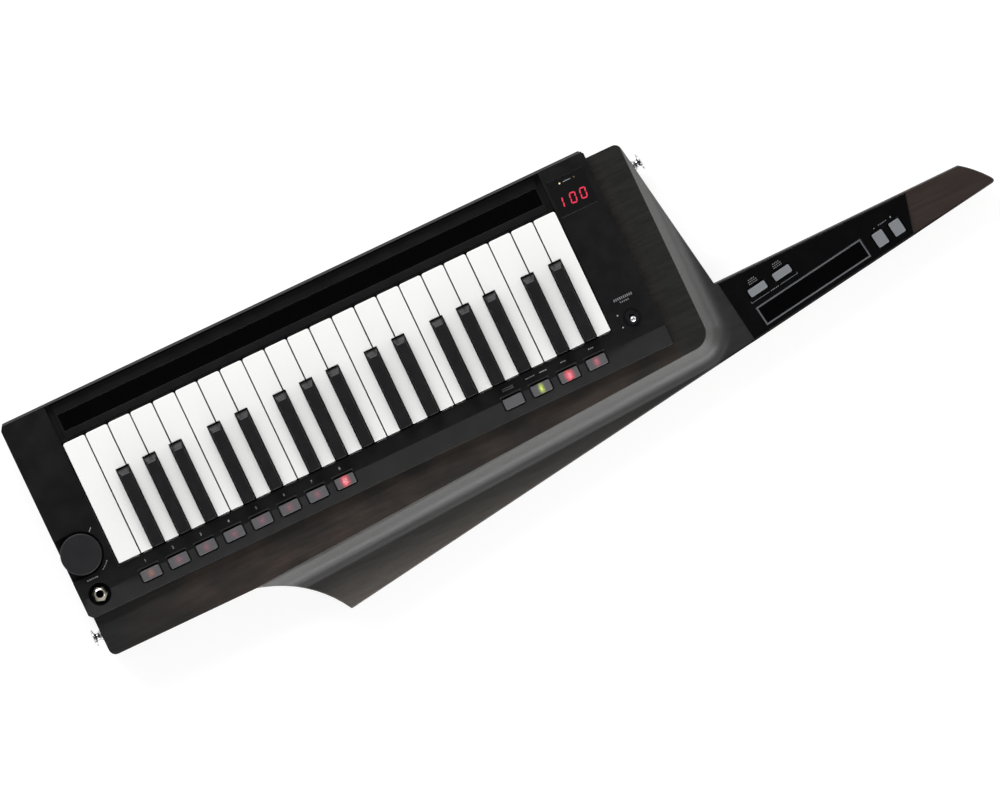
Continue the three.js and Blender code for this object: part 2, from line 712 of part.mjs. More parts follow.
const cableMiddle = NECK_ROOT.y - CABLE_SLOT_DROP;
const tailPinPlace = new THREE.Vector3(WOOD_LEFT, TAIL_PIN_Y, HIGH_FLAT / 2);
const shoulderPinY = WOOD_FRONT - SHOULDER_PIN_DROP;
const shoulderPinPlace = new THREE.Vector3(shoulderX(shoulderPinY), shoulderPinY, LEDGE_HEIGHT / 2);
const shoulderLean = Math.atan2(SHOULDER_RUN, WOOD_FRONT - NECK_ROOT.y);

// The blind hole for a strap pin's screw, pointing inwards from a side face
function pinHole(place, turn) {
  const hole = axle(-PIN_SCREW_LENGTH - OVERRUN, OVERRUN, 0, 0, PIN_SCREW_RADIUS + GAP);
  return placed(hole, place.x, place.y, place.z, 0, turn);
}

function neckReliefCutter() {
  const start = NECK_ROOT.x + RELIEF_START;
  const profile = [spot(start, -OVERRUN)];
  for (let i = 0; i <= RELIEF_STEPS; i += 1) {
    const share = i / RELIEF_STEPS;
    const rise = (1 - Math.cos(Math.PI * share)) / 2;
    profile.push(spot(start + RELIEF_RUN * share, NECK_RELIEF * rise));
  }
  profile.push(spot(NECK_TIP.x + OVERRUN, NECK_RELIEF), spot(NECK_TIP.x + OVERRUN, -OVERRUN));
  return barAlongY(profile.reverse(), SPIKE.y, WOOD_FRONT);
}

function woodBody() {
  const outline = bodyOutline();
  const low = upright(outline, 0, LEDGE_HEIGHT);
  const high = highFlat().intersect(upright(outline, 0, HIGH_FLAT + OVERRUN));
  return cut(low.add(high), [
    block(WOOD_LEFT - OVERRUN, WELL_RIGHT, WELL_BACK, WOOD_FRONT + OVERRUN, -OVERRUN, HIGH_FLAT + OVERRUN),
    upright(neckQuad(-GAP), NECK_TOP - NECK_PLATE - GAP, HIGH_FLAT),
    upright(neckQuad(POCKET_INSET), POCKET_FLOOR, HIGH_FLAT),
    block(WELL_RIGHT - OVERRUN, NECK_ROOT.x + CABLE_RUN,
      cableMiddle - CABLE_SLOT_WIDTH / 2, cableMiddle + CABLE_SLOT_WIDTH / 2,
      NECK_BOARD_Z - CABLE_SLOT_HEIGHT / 2, NECK_BOARD_Z + CABLE_SLOT_HEIGHT / 2),
    neckReliefCutter(),
    pinHole(tailPinPlace, Math.PI),
    pinHole(shoulderPinPlace, shoulderLean),
  ]);
}

// The case seen from its end, drawn in by an inset, down to a given height
function caseSection(inset, bottom) {
  const top = CASE_TOP - inset;
  const front = CASE_FRONT - inset;
  const back = CASE_BACK + inset;
  const fold = FOLD_Y + inset * Math.tan(BAND_ANGLE / 2);
  return rounded([
    spot(back, bottom),
    spot(front, bottom),
    { x: front, y: top, r: Math.max(CASE_EDGE_ROUND - inset, 0) },
    spot(fold, top),
    spot(back, top - (fold - back) * Math.tan(BAND_ANGLE)),
  ]);
}

function casePlan() {
  return [
    spot(CASE_LEFT, CASE_BACK + CASE_CORNER_ALONG),
    spot(CASE_LEFT + CASE_CORNER_ALONG, CASE_BACK),
    spot(CASE_RIGHT, CASE_BACK),
    spot(CASE_RIGHT, CASE_FRONT - CASE_CORNER_ALONG),
    spot(CASE_RIGHT - CASE_CORNER_ALONG, CASE_FRONT),
    spot(CASE_LEFT + CASE_CORNER_ALONG, CASE_FRONT),
    spot(CASE_LEFT, CASE_FRONT - CASE_CORNER_ACROSS),
  ];
}

// A button on the sloping band stands square to it, and this is its middle on the band's surface
function bandPlace(x) {
  return new THREE.Vector3(x, BUTTON_Y, CASE_TOP - (FOLD_Y - BUTTON_Y) * Math.tan(BAND_ANGLE));
}

function buttonSpots(start, count) {
  return Array.from({ length: count }, (unused, i) => start + i * BUTTON_PITCH);
}

function capSlot(length, width, corner, depth) {
  return upright(rectangle(length + 2 * BUTTON_GAP, width + 2 * BUTTON_GAP, corner + BUTTON_GAP),
    -depth, BUTTON_PROUD + OVERRUN);
}

function socketCutters() {
  const x0 = CASE_LEFT - OVERRUN;
  const x1 = CASE_LEFT + CASE_WALL + OVERRUN;
  const half = DATA_SIZE / 2 + SOCKET_WALL + GAP;
  return [
    axle(x0, x1, OUTPUT_Y, SOCKET_Z, JACK_NUT_RADIUS + GAP, ROUND_SIDES),
    axle(x0, x1, FIVE_PIN_Y, SOCKET_Z, FIVE_PIN_RADIUS + SOCKET_WALL + GAP, ROUND_SIDES),
    block(x0, x1, DATA_Y - half, DATA_Y + half, SOCKET_Z - half, SOCKET_Z + half),
    axle(x0, x1, POWER_Y, SOCKET_Z, POWER_RADIUS + SOCKET_WALL + GAP, ROUND_SIDES),
  ];
}

function keyboardPanel() {
  const inside = caseSection(CASE_WALL, -OVERRUN);
  const shell = cut(barAlongX(caseSection(0, SKIRT_LIFT), CASE_LEFT, CASE_RIGHT), [
    barAlongX(inside, CASE_LEFT + CASE_WALL, CASE_RIGHT - CASE_WALL),
  ]).intersect(upright(casePlan(), 0, CASE_TOP + OVERRUN));
  const underside = CASE_TOP - CASE_WALL;
  const trayUnder = TRAY_FLOOR - CASE_WALL;
  const recessFloor = CASE_TOP - DIAL_RECESS;
  const dialHole = DIAL_RADIUS + DIAL_GAP;
  const cupWall = CASE_WALL - GAP;
  const windowBack = -WHITE_LENGTH - KEY_END_GAP;
  const withFloors = join([
    shell,
    block(WINDOW_LEFT - CASE_WALL, WINDOW_RIGHT + CASE_WALL, windowBack, CASE_FRONT - CASE_WALL / 2,
      trayUnder, underside + CASE_WALL / 2),
    block(CASE_LEFT + CASE_WALL / 2, DIAL_X + dialHole + cupWall, DIAL_Y - dialHole - cupWall,
      DIAL_Y + dialHole + cupWall, recessFloor - cupWall, underside + CASE_WALL / 2)
      .intersect(drum(DIAL_X, DIAL_Y, 0, CASE_TOP, dialHole + cupWall, DIAL_SIDES)
        .add(block(CASE_LEFT, DIAL_X, DIAL_Y - dialHole - cupWall, DIAL_Y + dialHole + cupWall,
          0, CASE_TOP))),
    drum(JACK_X, JACK_Y, recessFloor - cupWall, underside - BAND_DROP / 2,
      JACK_RECESS_RADIUS + cupWall),
    block(WELL_RIGHT, CASE_RIGHT - CASE_WALL / 2, WOOD_FRONT + GAP, CASE_FRONT - CASE_WALL / 2,
      SKIRT_LIFT, HIGH_FLAT),
  ]);
  const slot = capSlot(BUTTON_LENGTH, BUTTON_WIDTH, BUTTON_CORNER, 2 * CASE_WALL);
  const slots = [
    ...buttonSpots(PROGRAM_START, PROGRAM_COUNT),
    ...buttonSpots(FUNCTION_START, FUNCTION_COUNT),
  ].map((x) => {
    const place = bandPlace(x);
    return placed(slot, place.x, place.y, place.z, BAND_ANGLE);
  });
  const dish = turned([
    [0, -TOGGLE_DISH_DEPTH],
    [TOGGLE_BUSH_RADIUS + 2 * GAP, -TOGGLE_DISH_DEPTH],
    [TOGGLE_DISH_RADIUS, 0],
    [TOGGLE_DISH_RADIUS, OVERRUN],
    [0, OVERRUN],
  ]);
  return cut(withFloors, [
    block(WINDOW_LEFT, WINDOW_RIGHT, windowBack - OVERRUN, KEY_END_GAP, 0, underside),
    block(WINDOW_LEFT, WINDOW_RIGHT, windowBack, KEY_END_GAP + OVERRUN, 0, CASE_TOP + OVERRUN)
      .subtract(block(WINDOW_LEFT - OVERRUN, WINDOW_RIGHT + OVERRUN, KEY_END_GAP, TRAY_WIDTH,
        trayUnder, TRAY_FLOOR)),
    block(WINDOW_LEFT, WINDOW_RIGHT, KEY_END_GAP, TRAY_WIDTH, TRAY_FLOOR, CASE_TOP + OVERRUN),
    drum(DIAL_X, DIAL_Y, recessFloor, CASE_TOP + OVERRUN, dialHole, DIAL_SIDES),
    block(CASE_LEFT - OVERRUN, DIAL_X, DIAL_Y - dialHole, DIAL_Y + dialHole, recessFloor,
      CASE_TOP + OVERRUN),
    drum(DIAL_X, DIAL_Y, 0, CASE_TOP, SPINDLE_RADIUS + 3 * GAP),
    drum(JACK_X, JACK_Y, recessFloor, CASE_TOP + OVERRUN, JACK_RECESS_RADIUS),
    drum(JACK_X, JACK_Y, 0, CASE_TOP, JACK_BUSH_RADIUS + GAP),
    ...slots,
    placed(dish, TOGGLE_X, TOGGLE_Y, CASE_TOP),
    drum(TOGGLE_X, TOGGLE_Y, 0, CASE_TOP, TOGGLE_BUSH_RADIUS + GAP),
    placed(upright(rectangle(DISPLAY_LENGTH + 2 * OVERRUN, DISPLAY_WIDTH + 2 * OVERRUN, BUTTON_CORNER),
      -GLASS_SINK, OVERRUN), DISPLAY_X, DISPLAY_Y, CASE_TOP),
    block(WELL_RIGHT - GAP, CASE_RIGHT + OVERRUN, CASE_BACK - OVERRUN, WOOD_FRONT + GAP,
      -OVERRUN, HIGH_FLAT + GAP),
    block(WOOD_LEFT - GAP, CASE_RIGHT + OVERRUN, CASE_BACK - OVERRUN, WELL_BACK + GAP,
      -OVERRUN, HIGH_FLAT + GAP),
    ...socketCutters(),
  ]);
}

// A cap drawn from the panel's surface: its top is bevelled, and a flange below keeps it in its slot
function capTop(length, width, corner, panel) {
  const under = -panel - FLANGE_DROP - FLANGE_THICK;
  const shoulder = BUTTON_PROUD - BUTTON_BEVEL;
  const outline = rectangle(length, width, corner);
  const inner = rectangle(length - 2 * BUTTON_BEVEL, width - 2 * BUTTON_BEVEL, corner);
  return loft([outline, outline, inner], [under, shoulder, BUTTON_PROUD]);
}

function capStem(panel) {
  const under = -panel - FLANGE_DROP - FLANGE_THICK;
  const half = STEM_SIZE / 2;
  return block(-half, half, -half, half, under - STEM_LENGTH, under + FLANGE_THICK);
}

function cap(length, width, corner, panel) {
  const top = -panel - FLANGE_DROP;
  const half = length / 2 + FLANGE_REACH;
  const flange = block(-half, half, -width / 2, width / 2, top - FLANGE_THICK, top);
  return join([capTop(length, width, corner, panel), flange, capStem(panel)]);
}

// The program buttons are one silicone strip with a cap for each button
function programStrip() {
  const spots = buttonSpots(0, PROGRAM_COUNT);
  const middle = (spots[0] + spots[spots.length - 1]) / 2;
  const top = -CASE_WALL - FLANGE_DROP;
  const half = middle + BUTTON_LENGTH / 2 + FLANGE_REACH;
  const web = block(-half, half, -BUTTON_WIDTH / 2, BUTTON_WIDTH / 2, top - FLANGE_THICK, top);
  const caps = spots.map((x) => placed(
    capTop(BUTTON_LENGTH, BUTTON_WIDTH, BUTTON_CORNER, CASE_WALL).add(capStem(CASE_WALL)),
    x - middle, 0, 0));
  return join([web, ...caps]);
}

// The dial, with its spindle reaching down into the potentiometer
function volumeDial() {
  const spindleEnd = BOARD_Z + BOARD_THICK + GAP * 3 - dialPlace.z;
  return turned([
    [0, spindleEnd],
    [SPINDLE_RADIUS, spindleEnd],
    [SPINDLE_RADIUS, DIAL_HOLLOW],
    [DIAL_RADIUS - DIAL_WALL, DIAL_HOLLOW],
    [DIAL_RADIUS - DIAL_WALL, 0],
    [DIAL_RADIUS, 0],
    [DIAL_RADIUS, DIAL_HEIGHT - DIAL_CHAMFER],
    [DIAL_RADIUS - DIAL_CHAMFER, DIAL_HEIGHT],
    [0, DIAL_HEIGHT],
  ], DIAL_SIDES);
}

// The lever of the toggle switch, drawn from its ball
function toggleLever() {
  const waist = TOGGLE_BALL * Math.SQRT1_2;
  const tipStart = TOGGLE_LENGTH - TOGGLE_TIP;
  return turned([
    [0, -TOGGLE_BALL],
    [waist, -waist],
    [TOGGLE_BALL, 0],
    [waist, waist],
    [TOGGLE_STEM, TOGGLE_BALL],
    [TOGGLE_STEM, TOGGLE_SINK],
    [TOGGLE_TIP, tipStart],
    [TOGGLE_TIP * Math.SQRT1_2, tipStart + TOGGLE_TIP * Math.SQRT1_2],
    [0, TOGGLE_LENGTH],
  ], BORE_SIDES);
}

function hexagon(radius) {
  return Array.from({ length: 6 }, (unused, i) => spot(
    radius * Math.cos(Math.PI * i / 3), radius * Math.sin(Math.PI * i / 3)));
}

// The microphone jack, drawn from the floor of its recess: hexagon nut, threaded bush and socket body
function microphoneJack() {
  const half = JACK_BODY_SIZE / 2;
  const nutTop = GAP + JACK_NUT_HEIGHT;
  const outside = join([
    upright(hexagon(JACK_NUT_RADIUS), GAP, nutTop),
    drum(0, 0, -CASE_WALL - OVERRUN, nutTop + GAP, JACK_BUSH_RADIUS),
    block(-half, half, -half, half, -CASE_WALL - JACK_BODY_LENGTH, -CASE_WALL),
  ]);
  const bore = drum(0, 0, JACK_NUT_HEIGHT - JACK_BORE_DEPTH, JACK_NUT_HEIGHT + OVERRUN,
    JACK_BORE_RADIUS, BORE_SIDES);
  return outside.subtract(bore);
}

// Ribbons, neck panel and covers

function longRibbon() {
  const left = LONG_RIBBON_INSET;
  const right = KEYBOARD_WIDTH - LONG_RIBBON_INSET;
  const bottom = TRAY_FLOOR + GAP;
  const plate = block(left, right, LONG_RIBBON_START, TRAY_WIDTH - 2 * GAP, bottom,
    bottom + RIBBON_PLATE);
  const filmStart = LONG_RIBBON_START + LONG_FILM_START;
  return plate.subtract(block(left + LONG_FILM_INSET, right - LONG_FILM_INSET, filmStart,
    filmStart + LONG_FILM_WIDTH, bottom + RIBBON_PLATE - FILM_SINK, CASE_TOP));
}

// Drawn round its middle, at the floor of its recess in the neck panel
function shortRibbon() {
  const x = SHORT_RIBBON_LENGTH / 2;
  const y = SHORT_RIBBON_WIDTH / 2;
  const plate = block(-x, x, -y, y, GAP, GAP + RIBBON_PLATE);
  return plate.subtract(block(-x + SHORT_RIM, x - SHORT_RIM, -y + SHORT_RIM, y - SHORT_RIM,
    GAP + RIBBON_PLATE - FILM_SINK, GAP + RIBBON_PLATE + OVERRUN));
}

const shortRibbonPlace = neckPlace(SHORT_RIBBON_ALONG, SHORT_RIBBON_SHARE);

// Two places side by side along the neck's tilt
function neckButtonPlaces(along, share, pitch) {
  const { x, y } = neckPlace(along, share);
  return [0, pitch].map((step) => spot(x + step * Math.cos(NECK_TILT), y + step * Math.sin(NECK_TILT)));
}

const barPlaces = neckButtonPlaces(BAR_ALONG, BAR_SHARE, BAR_PITCH);
const squarePlaces = neckButtonPlaces(SQUARE_ALONG, SQUARE_SHARE, SQUARE_PITCH);

function neckPanel() {
  const plate = upright(neckQuad(0), NECK_TOP - NECK_PLATE, NECK_TOP);
  const recess = block(-SHORT_RIBBON_LENGTH / 2 - GAP, SHORT_RIBBON_LENGTH / 2 + GAP,
    -SHORT_RIBBON_WIDTH / 2 - GAP, SHORT_RIBBON_WIDTH / 2 + GAP, -RIBBON_RECESS, OVERRUN);
  const barSlot = capSlot(BAR_LENGTH, BAR_WIDTH, BUTTON_CORNER, NECK_PLATE + OVERRUN);
  const squareSlot = capSlot(SQUARE_LENGTH, SQUARE_WIDTH, SQUARE_CORNER, NECK_PLATE + OVERRUN);
  return cut(plate, [
    placed(recess, shortRibbonPlace.x, shortRibbonPlace.y, NECK_TOP, 0, NECK_TILT),
    ...barPlaces.map(({ x, y }) => placed(barSlot, x, y, NECK_TOP, 0, NECK_TILT)),
    ...squarePlaces.map(({ x, y }) => placed(squareSlot, x, y, NECK_TOP, 0, NECK_TILT)),
  ]);
}

const coverLeft = CASE_LEFT + CASE_WALL + GAP;
const coverFront = CASE_FRONT - CASE_WALL - GAP;
const boardLeft = CASE_LEFT + BOARD_EDGE;
const boardCheekRight = WINDOW_LEFT - CASE_WALL - BOARD_EDGE / 2;
const boardRightStart = WINDOW_RIGHT + CASE_WALL + BOARD_EDGE / 2;
const boardRight = WELL_RIGHT - BOARD_EDGE / 2;
const boardFront = WOOD_FRONT;
const boardBack = WELL_BACK + GAP * 2;
const boardBandFront = PIVOT_Y - TAIL_REACH - BED_PLATE - BOARD_EDGE / 2;

function postSpots() {
  const leftMiddle = (boardLeft + boardCheekRight) / 2;
  const rightMiddle = (boardRightStart + boardRight) / 2;
  const bandMiddle = (boardBandFront + boardBack) / 2;
  const front = boardFront - 2 * POST_RADIUS;
  return [
    spot(boardCheekRight - POST_RADIUS, FIVE_PIN_Y),
    spot(leftMiddle, DIAL_Y + DIAL_RADIUS + 2 * POST_RADIUS),
    spot(rightMiddle, front),
    spot(rightMiddle, DIAL_Y + DIAL_RADIUS),
    spot(PROGRAM_START + BUTTON_PITCH * (PROGRAM_COUNT + 1), bandMiddle),
    spot(FUNCTION_START + BUTTON_PITCH * FUNCTION_COUNT, bandMiddle),
  ];
}

function backCover() {
  const plate = block(coverLeft, WELL_RIGHT - GAP, WELL_BACK + GAP, coverFront, 0, COVER_THICK);
  const posts = postSpots().map(({ x, y }) => drum(x, y, COVER_THICK / 2, BOARD_Z - GAP, POST_RADIUS,
    HIDDEN_SIDES));
  const bay = block(BAY_X - BAY_WALL, BAY_X + BAY_LENGTH + BAY_WALL, BAY_Y - BAY_WALL,
    BAY_Y + BAY_WIDTH + BAY_WALL, COVER_THICK / 2, DOOR_THICK + BAY_DEPTH + BAY_WALL);
  return cut(join([plate, bay, ...posts]), [
    block(BAY_X, BAY_X + BAY_LENGTH, BAY_Y, BAY_Y + BAY_WIDTH, -OVERRUN, DOOR_THICK + BAY_DEPTH),
    block(BAY_X - DOOR_LEDGE, BAY_X + BAY_LENGTH + DOOR_LEDGE, BAY_Y - DOOR_LEDGE,
      BAY_Y + BAY_WIDTH + DOOR_LEDGE, -OVERRUN, DOOR_THICK + GAP),
  ]);
}

function batteryDoor() {
  const reach = DOOR_LEDGE - GAP;
  return block(BAY_X - reach, BAY_X + BAY_LENGTH + reach, BAY_Y - reach, BAY_Y + BAY_WIDTH + reach,
    0, DOOR_THICK);
}

// The chassis under the keys: floor, feet, stop rail, pivot wall, pivot rod and the fins that hold it
function keyBed() {
  const left = WINDOW_LEFT - CASE_WALL;
  const right = WINDOW_RIGHT + CASE_WALL;
  const wallFront = PIVOT_Y - TAIL_REACH - GAP;
  const wallBack = wallFront - BED_PLATE;
  const railTop = WHITE_TOP - WHITE_DEPTH - KEY_TRAVEL - GAP;
  const foot = COVER_THICK + GAP;
  const finTop = PIVOT_Z + TAIL_REACH;
  const fins = [WINDOW_LEFT - FIN_THICK, WINDOW_RIGHT];
  for (let i = 0; i < WHITE_COUNT - 1; i += 1) {
    if (blackMiddle(i) === null) fins.push((i + 1) * WHITE_PITCH - FIN_THICK / 2);
  }
  return join([
    block(left, right, wallBack, 0, BED_FLOOR, BED_FLOOR + BED_PLATE),
    block(left, right, -RAIL_START - RAIL_WIDTH, -RAIL_START, BED_FLOOR, railTop),
    block(left, right, wallBack, wallFront, foot, PIVOT_Z - 2 * TAIL_REACH),
    block(left, right, -BED_PLATE, 0, foot, BED_FLOOR + BED_PLATE / 2),
    axle(left, right, PIVOT_Y, PIVOT_Z, ROD_RADIUS, HIDDEN_SIDES),
    ...fins.map((x) => block(x, x + FIN_THICK, wallBack, PIVOT_Y + TAIL_REACH,
      PIVOT_Z - 3 * TAIL_REACH, finTop)),
  ]);
}

// A tact switch on a board whose top is at a given height, with its plunger up to the given top
function tactSwitch(x, y, boardTop, top) {
  const half = SWITCH_SIZE / 2;
  return block(x - half, x + half, y - half, y + half, boardTop - BOARD_THICK / 2,
    boardTop + SWITCH_HEIGHT)
    .add(drum(x, y, boardTop, top, PLUNGER_RADIUS, HIDDEN_SIDES));
}

// The sockets in the tail wall hang below the board
function sockets() {
  const x0 = CASE_LEFT + CASE_WALL / 2;
  const x1 = x0 + SOCKET_DEPTH + SOCKET_WALL;
  const top = BOARD_Z + BOARD_THICK / 2;
  const half = DATA_SIZE / 2 + SOCKET_WALL;
  const bores = [
    axle(x0 - OVERRUN, x1 - SOCKET_WALL, FIVE_PIN_Y, SOCKET_Z, FIVE_PIN_RADIUS, ROUND_SIDES),
    block(x0 - OVERRUN, x1 - SOCKET_WALL, DATA_Y - DATA_SIZE / 2, DATA_Y + DATA_SIZE / 2,
      SOCKET_Z - DATA_SIZE / 2, SOCKET_Z + DATA_SIZE / 2),
    axle(x0 - OVERRUN, x1 - SOCKET_WALL, POWER_Y, SOCKET_Z, POWER_RADIUS, ROUND_SIDES),
    axle(x0 - OVERRUN, x0 + JACK_BORE_DEPTH, OUTPUT_Y, SOCKET_Z, JACK_BORE_RADIUS, BORE_SIDES),
  ];
  const bodyLeft = CASE_LEFT + CASE_WALL + GAP;
  const jackHalf = JACK_NUT_RADIUS;
  const bodies = join([
    axle(x0, x1, FIVE_PIN_Y, SOCKET_Z, FIVE_PIN_RADIUS + SOCKET_WALL, ROUND_SIDES),
    block(bodyLeft, x1, FIVE_PIN_Y - FIVE_PIN_RADIUS, FIVE_PIN_Y + FIVE_PIN_RADIUS, SOCKET_Z, top),
    block(x0, x1, DATA_Y - half, DATA_Y + half, SOCKET_Z - half, SOCKET_Z + half),
    block(bodyLeft, x1, DATA_Y - half, DATA_Y + half, SOCKET_Z, top),
    axle(x0, x1, POWER_Y, SOCKET_Z, POWER_RADIUS + SOCKET_WALL, ROUND_SIDES),
    block(bodyLeft, x1, POWER_Y - POWER_RADIUS, POWER_Y + POWER_RADIUS, SOCKET_Z, top),
    axle(x0, bodyLeft + OVERRUN, OUTPUT_Y, SOCKET_Z, JACK_NUT_RADIUS, ROUND_SIDES),
    block(bodyLeft, x0 + JACK_BORE_DEPTH + SOCKET_WALL, OUTPUT_Y - jackHalf, OUTPUT_Y + jackHalf,
      SOCKET_Z - jackHalf, top),
  ]);
  const pin = axle(x0 + SOCKET_WALL, x1 - SOCKET_WALL / 2, POWER_Y, SOCKET_Z, POWER_PIN, HIDDEN_SIDES);
  return cut(bodies, bores).add(pin);
}

// The switch plungers stop short of the stems by the travel and a gap
function plungerTop(stemEnd) {
  return stemEnd - BUTTON_TRAVEL - 2 * GAP;
}

function bandSwitches() {
  const reach = CASE_WALL + FLANGE_DROP + FLANGE_THICK + STEM_LENGTH;
  return [
    ...buttonSpots(PROGRAM_START, PROGRAM_COUNT),
    ...buttonSpots(FUNCTION_START, FUNCTION_COUNT),
  ].map((x) => {
    const middle = bandPlace(x);
    const y = middle.y + reach * Math.sin(BAND_ANGLE);
    const stemEnd = middle.z - reach * Math.cos(BAND_ANGLE) - STEM_SIZE / 2 * Math.sin(BAND_ANGLE);
    return tactSwitch(x, y - STEM_SIZE / 2, BOARD_Z + BOARD_THICK, plungerTop(stemEnd));
  });
}

// The flat cable leaves the right leg of the main board and runs through the wood to the neck board
function neckWiring() {
  const cableX = boardRight - BOARD_THICK;
  const half = CABLE_WIDTH / 2;
  const neckStart = NECK_ROOT.x + CABLE_RUN;
  const outline = neckQuad(POCKET_INSET + 2 * GAP);
  const stemEnd = NECK_TOP - NECK_PLATE - FLANGE_DROP - FLANGE_THICK - STEM_LENGTH;
  const boardTop = NECK_BOARD_Z + BOARD_THICK;
  return join([
    block(cableX - CABLE_THICK, cableX, cableMiddle - half, cableMiddle + half, NECK_BOARD_Z,
      BOARD_Z + BOARD_THICK / 2),
    block(cableX - CABLE_THICK, neckStart, cableMiddle - half, cableMiddle + half, NECK_BOARD_Z,
      NECK_BOARD_Z + CABLE_THICK),
    upright(outline, NECK_BOARD_Z, boardTop),
    ...[...barPlaces, ...squarePlaces].map(({ x, y }) => tactSwitch(x, y, boardTop, plungerTop(stemEnd))),
  ]);
}

function mainBoard() {
  const top = BOARD_Z + BOARD_THICK;
  const cupUnder = CASE_TOP - DIAL_RECESS - CASE_WALL;
  const toggleSeat = CASE_TOP - CASE_WALL - GAP;
  const half = TOGGLE_BODY_SIZE / 2;
  const togglePivot = CASE_TOP - TOGGLE_SINK;
  const jackHole = JACK_BODY_SIZE / 2 + 2 * GAP;
  const legs = cut(join([
    block(boardLeft, boardCheekRight, boardBack, boardFront, BOARD_Z, top),
    block(boardRightStart, boardRight, boardBack, boardFront, BOARD_Z, top),
    block(boardLeft, boardRight, boardBack, boardBandFront, BOARD_Z, top),
  ]), [
    block(JACK_X - jackHole, JACK_X + jackHole, JACK_Y - jackHole, JACK_Y + jackHole, 0, CASE_TOP),
  ]);
  const potentiometer = drum(DIAL_X, DIAL_Y, BOARD_Z, cupUnder - GAP, POT_RADIUS)
    .subtract(drum(DIAL_X, DIAL_Y, top, CASE_TOP, SPINDLE_RADIUS + GAP));
  const display = block(DISPLAY_X - DISPLAY_LENGTH / 2, DISPLAY_X + DISPLAY_LENGTH / 2,
    DISPLAY_Y - DISPLAY_WIDTH / 2, DISPLAY_Y + DISPLAY_WIDTH / 2, BOARD_Z, toggleSeat);
  const toggleSwitch = join([
    block(TOGGLE_X - half, TOGGLE_X + half, TOGGLE_Y - half, TOGGLE_Y + half, BOARD_Z, toggleSeat),
    drum(TOGGLE_X, TOGGLE_Y, BOARD_Z, CASE_TOP - GAP, TOGGLE_BUSH_RADIUS),
  ]).subtract(drum(TOGGLE_X, TOGGLE_Y, togglePivot - TOGGLE_BALL - GAP, CASE_TOP + OVERRUN,
    TOGGLE_BUSH_BORE));
  return join([legs, potentiometer, display, toggleSwitch, sockets(), ...bandSwitches(), neckWiring()]);
}

// A strap pin, drawn from the side face that it is screwed to, with its head towards +X
function strapPin() {
  const neckEnd = PIN_REACH - PIN_HEAD_THICK;
  const profile = turned([
    [0, -PIN_SCREW_LENGTH],
    [PIN_SCREW_RADIUS, -PIN_SCREW_LENGTH + PIN_SCREW_RADIUS],
    [PIN_SCREW_RADIUS, GAP],
    [PIN_FOOT_RADIUS, GAP],
    [PIN_FOOT_RADIUS, GAP + PIN_FOOT_THICK],
    [PIN_NECK_RADIUS, GAP + 2 * PIN_FOOT_THICK],
    [PIN_NECK_RADIUS, neckEnd],
    [PIN_HEAD_RADIUS, neckEnd + GAP],
    [PIN_HEAD_RADIUS, neckEnd + PIN_HEAD_THICK / 2],
    [PIN_HEAD_RADIUS / 2, PIN_REACH],
    [0, PIN_REACH],
  ]);
  return profile.rotate([0, 90, 0]);
}

// The assembly: wood and covers first, then the controls, then the keys from left to right

const body = new THREE.Group();
keytar.add(body);
piece('wood_body', woodBody(), stainedWood, body);
piece('keyboard_panel', keyboardPanel(), caseBlack, body);
piece('neck_panel', neckPanel(), neckBlack, body);
piece('back_cover', backCover(), coverBlack, body);
piece('battery_door', batteryDoor(), coverBlack, body);
piece('key_bed', keyBed(), bedGrey, body);
piece('main_board', mainBoard(), boardGreen, body);
piece('long_ribbon', longRibbon(), filmBlack, body);

const shortRibbonMesh = piece('short_ribbon', shortRibbon(), filmBlack, body);
shortRibbonMesh.position.set(shortRibbonPlace.x, shortRibbonPlace.y, NECK_TOP - RIBBON_RECESS);
shortRibbonMesh.rotation.z = NECK_TILT;

const jackMesh = piece('microphone_jack', microphoneJack(), chrome, body);
jackMesh.position.set(JACK_X, JACK_Y, CASE_TOP - DIAL_RECESS);

const tailPin = piece('strap_pin_tail', strapPin(), chrome, body);
tailPin.position.copy(tailPinPlace);
tailPin.rotation.z = Math.PI;

const shoulderPin = piece('strap_pin_shoulder', strapPin(), chrome, body);
shoulderPin.position.copy(shoulderPinPlace);
shoulderPin.rotation.z = shoulderLean;

const controls = new THREE.Group();
keytar.add(controls);

const dialPlace = new THREE.Vector3(DIAL_X, DIAL_Y, CASE_TOP - DIAL_RECESS + DIAL_LIFT);
const dialMesh = piece('volume_dial', volumeDial(), caseBlack, controls);
dialMesh.position.copy(dialPlace);

const leverMesh = piece('toggle_lever', toggleLever(), chrome, controls);
leverMesh.position.set(TOGGLE_X, TOGGLE_Y, CASE_TOP - TOGGLE_SINK);
leverMesh.rotation.x = TOGGLE_TILT;

const stripMesh = piece('program_buttons', programStrip(), capGrey, controls);
stripMesh.position.copy(bandPlace(PROGRAM_START + BUTTON_PITCH * (PROGRAM_COUNT - 1) / 2));
stripMesh.rotation.x = BAND_ANGLE;

buttonSpots(FUNCTION_START, FUNCTION_COUNT).forEach((x, i) => {
  const shape = cap(BUTTON_LENGTH, BUTTON_WIDTH, BUTTON_CORNER, CASE_WALL);
  const button = piece(`function_button_${i + 1}`, shape, capGrey, controls);
  button.position.copy(bandPlace(x));
  button.rotation.x = BAND_ANGLE;
});

barPlaces.forEach(({ x, y }, i) => {
  const button = piece(`neck_bar_button_${i + 1}`, cap(BAR_LENGTH, BAR_WIDTH, BUTTON_CORNER, NECK_PLATE),
    lightGrey, controls);
  button.position.set(x, y, NECK_TOP);
  button.rotation.z = NECK_TILT;
});

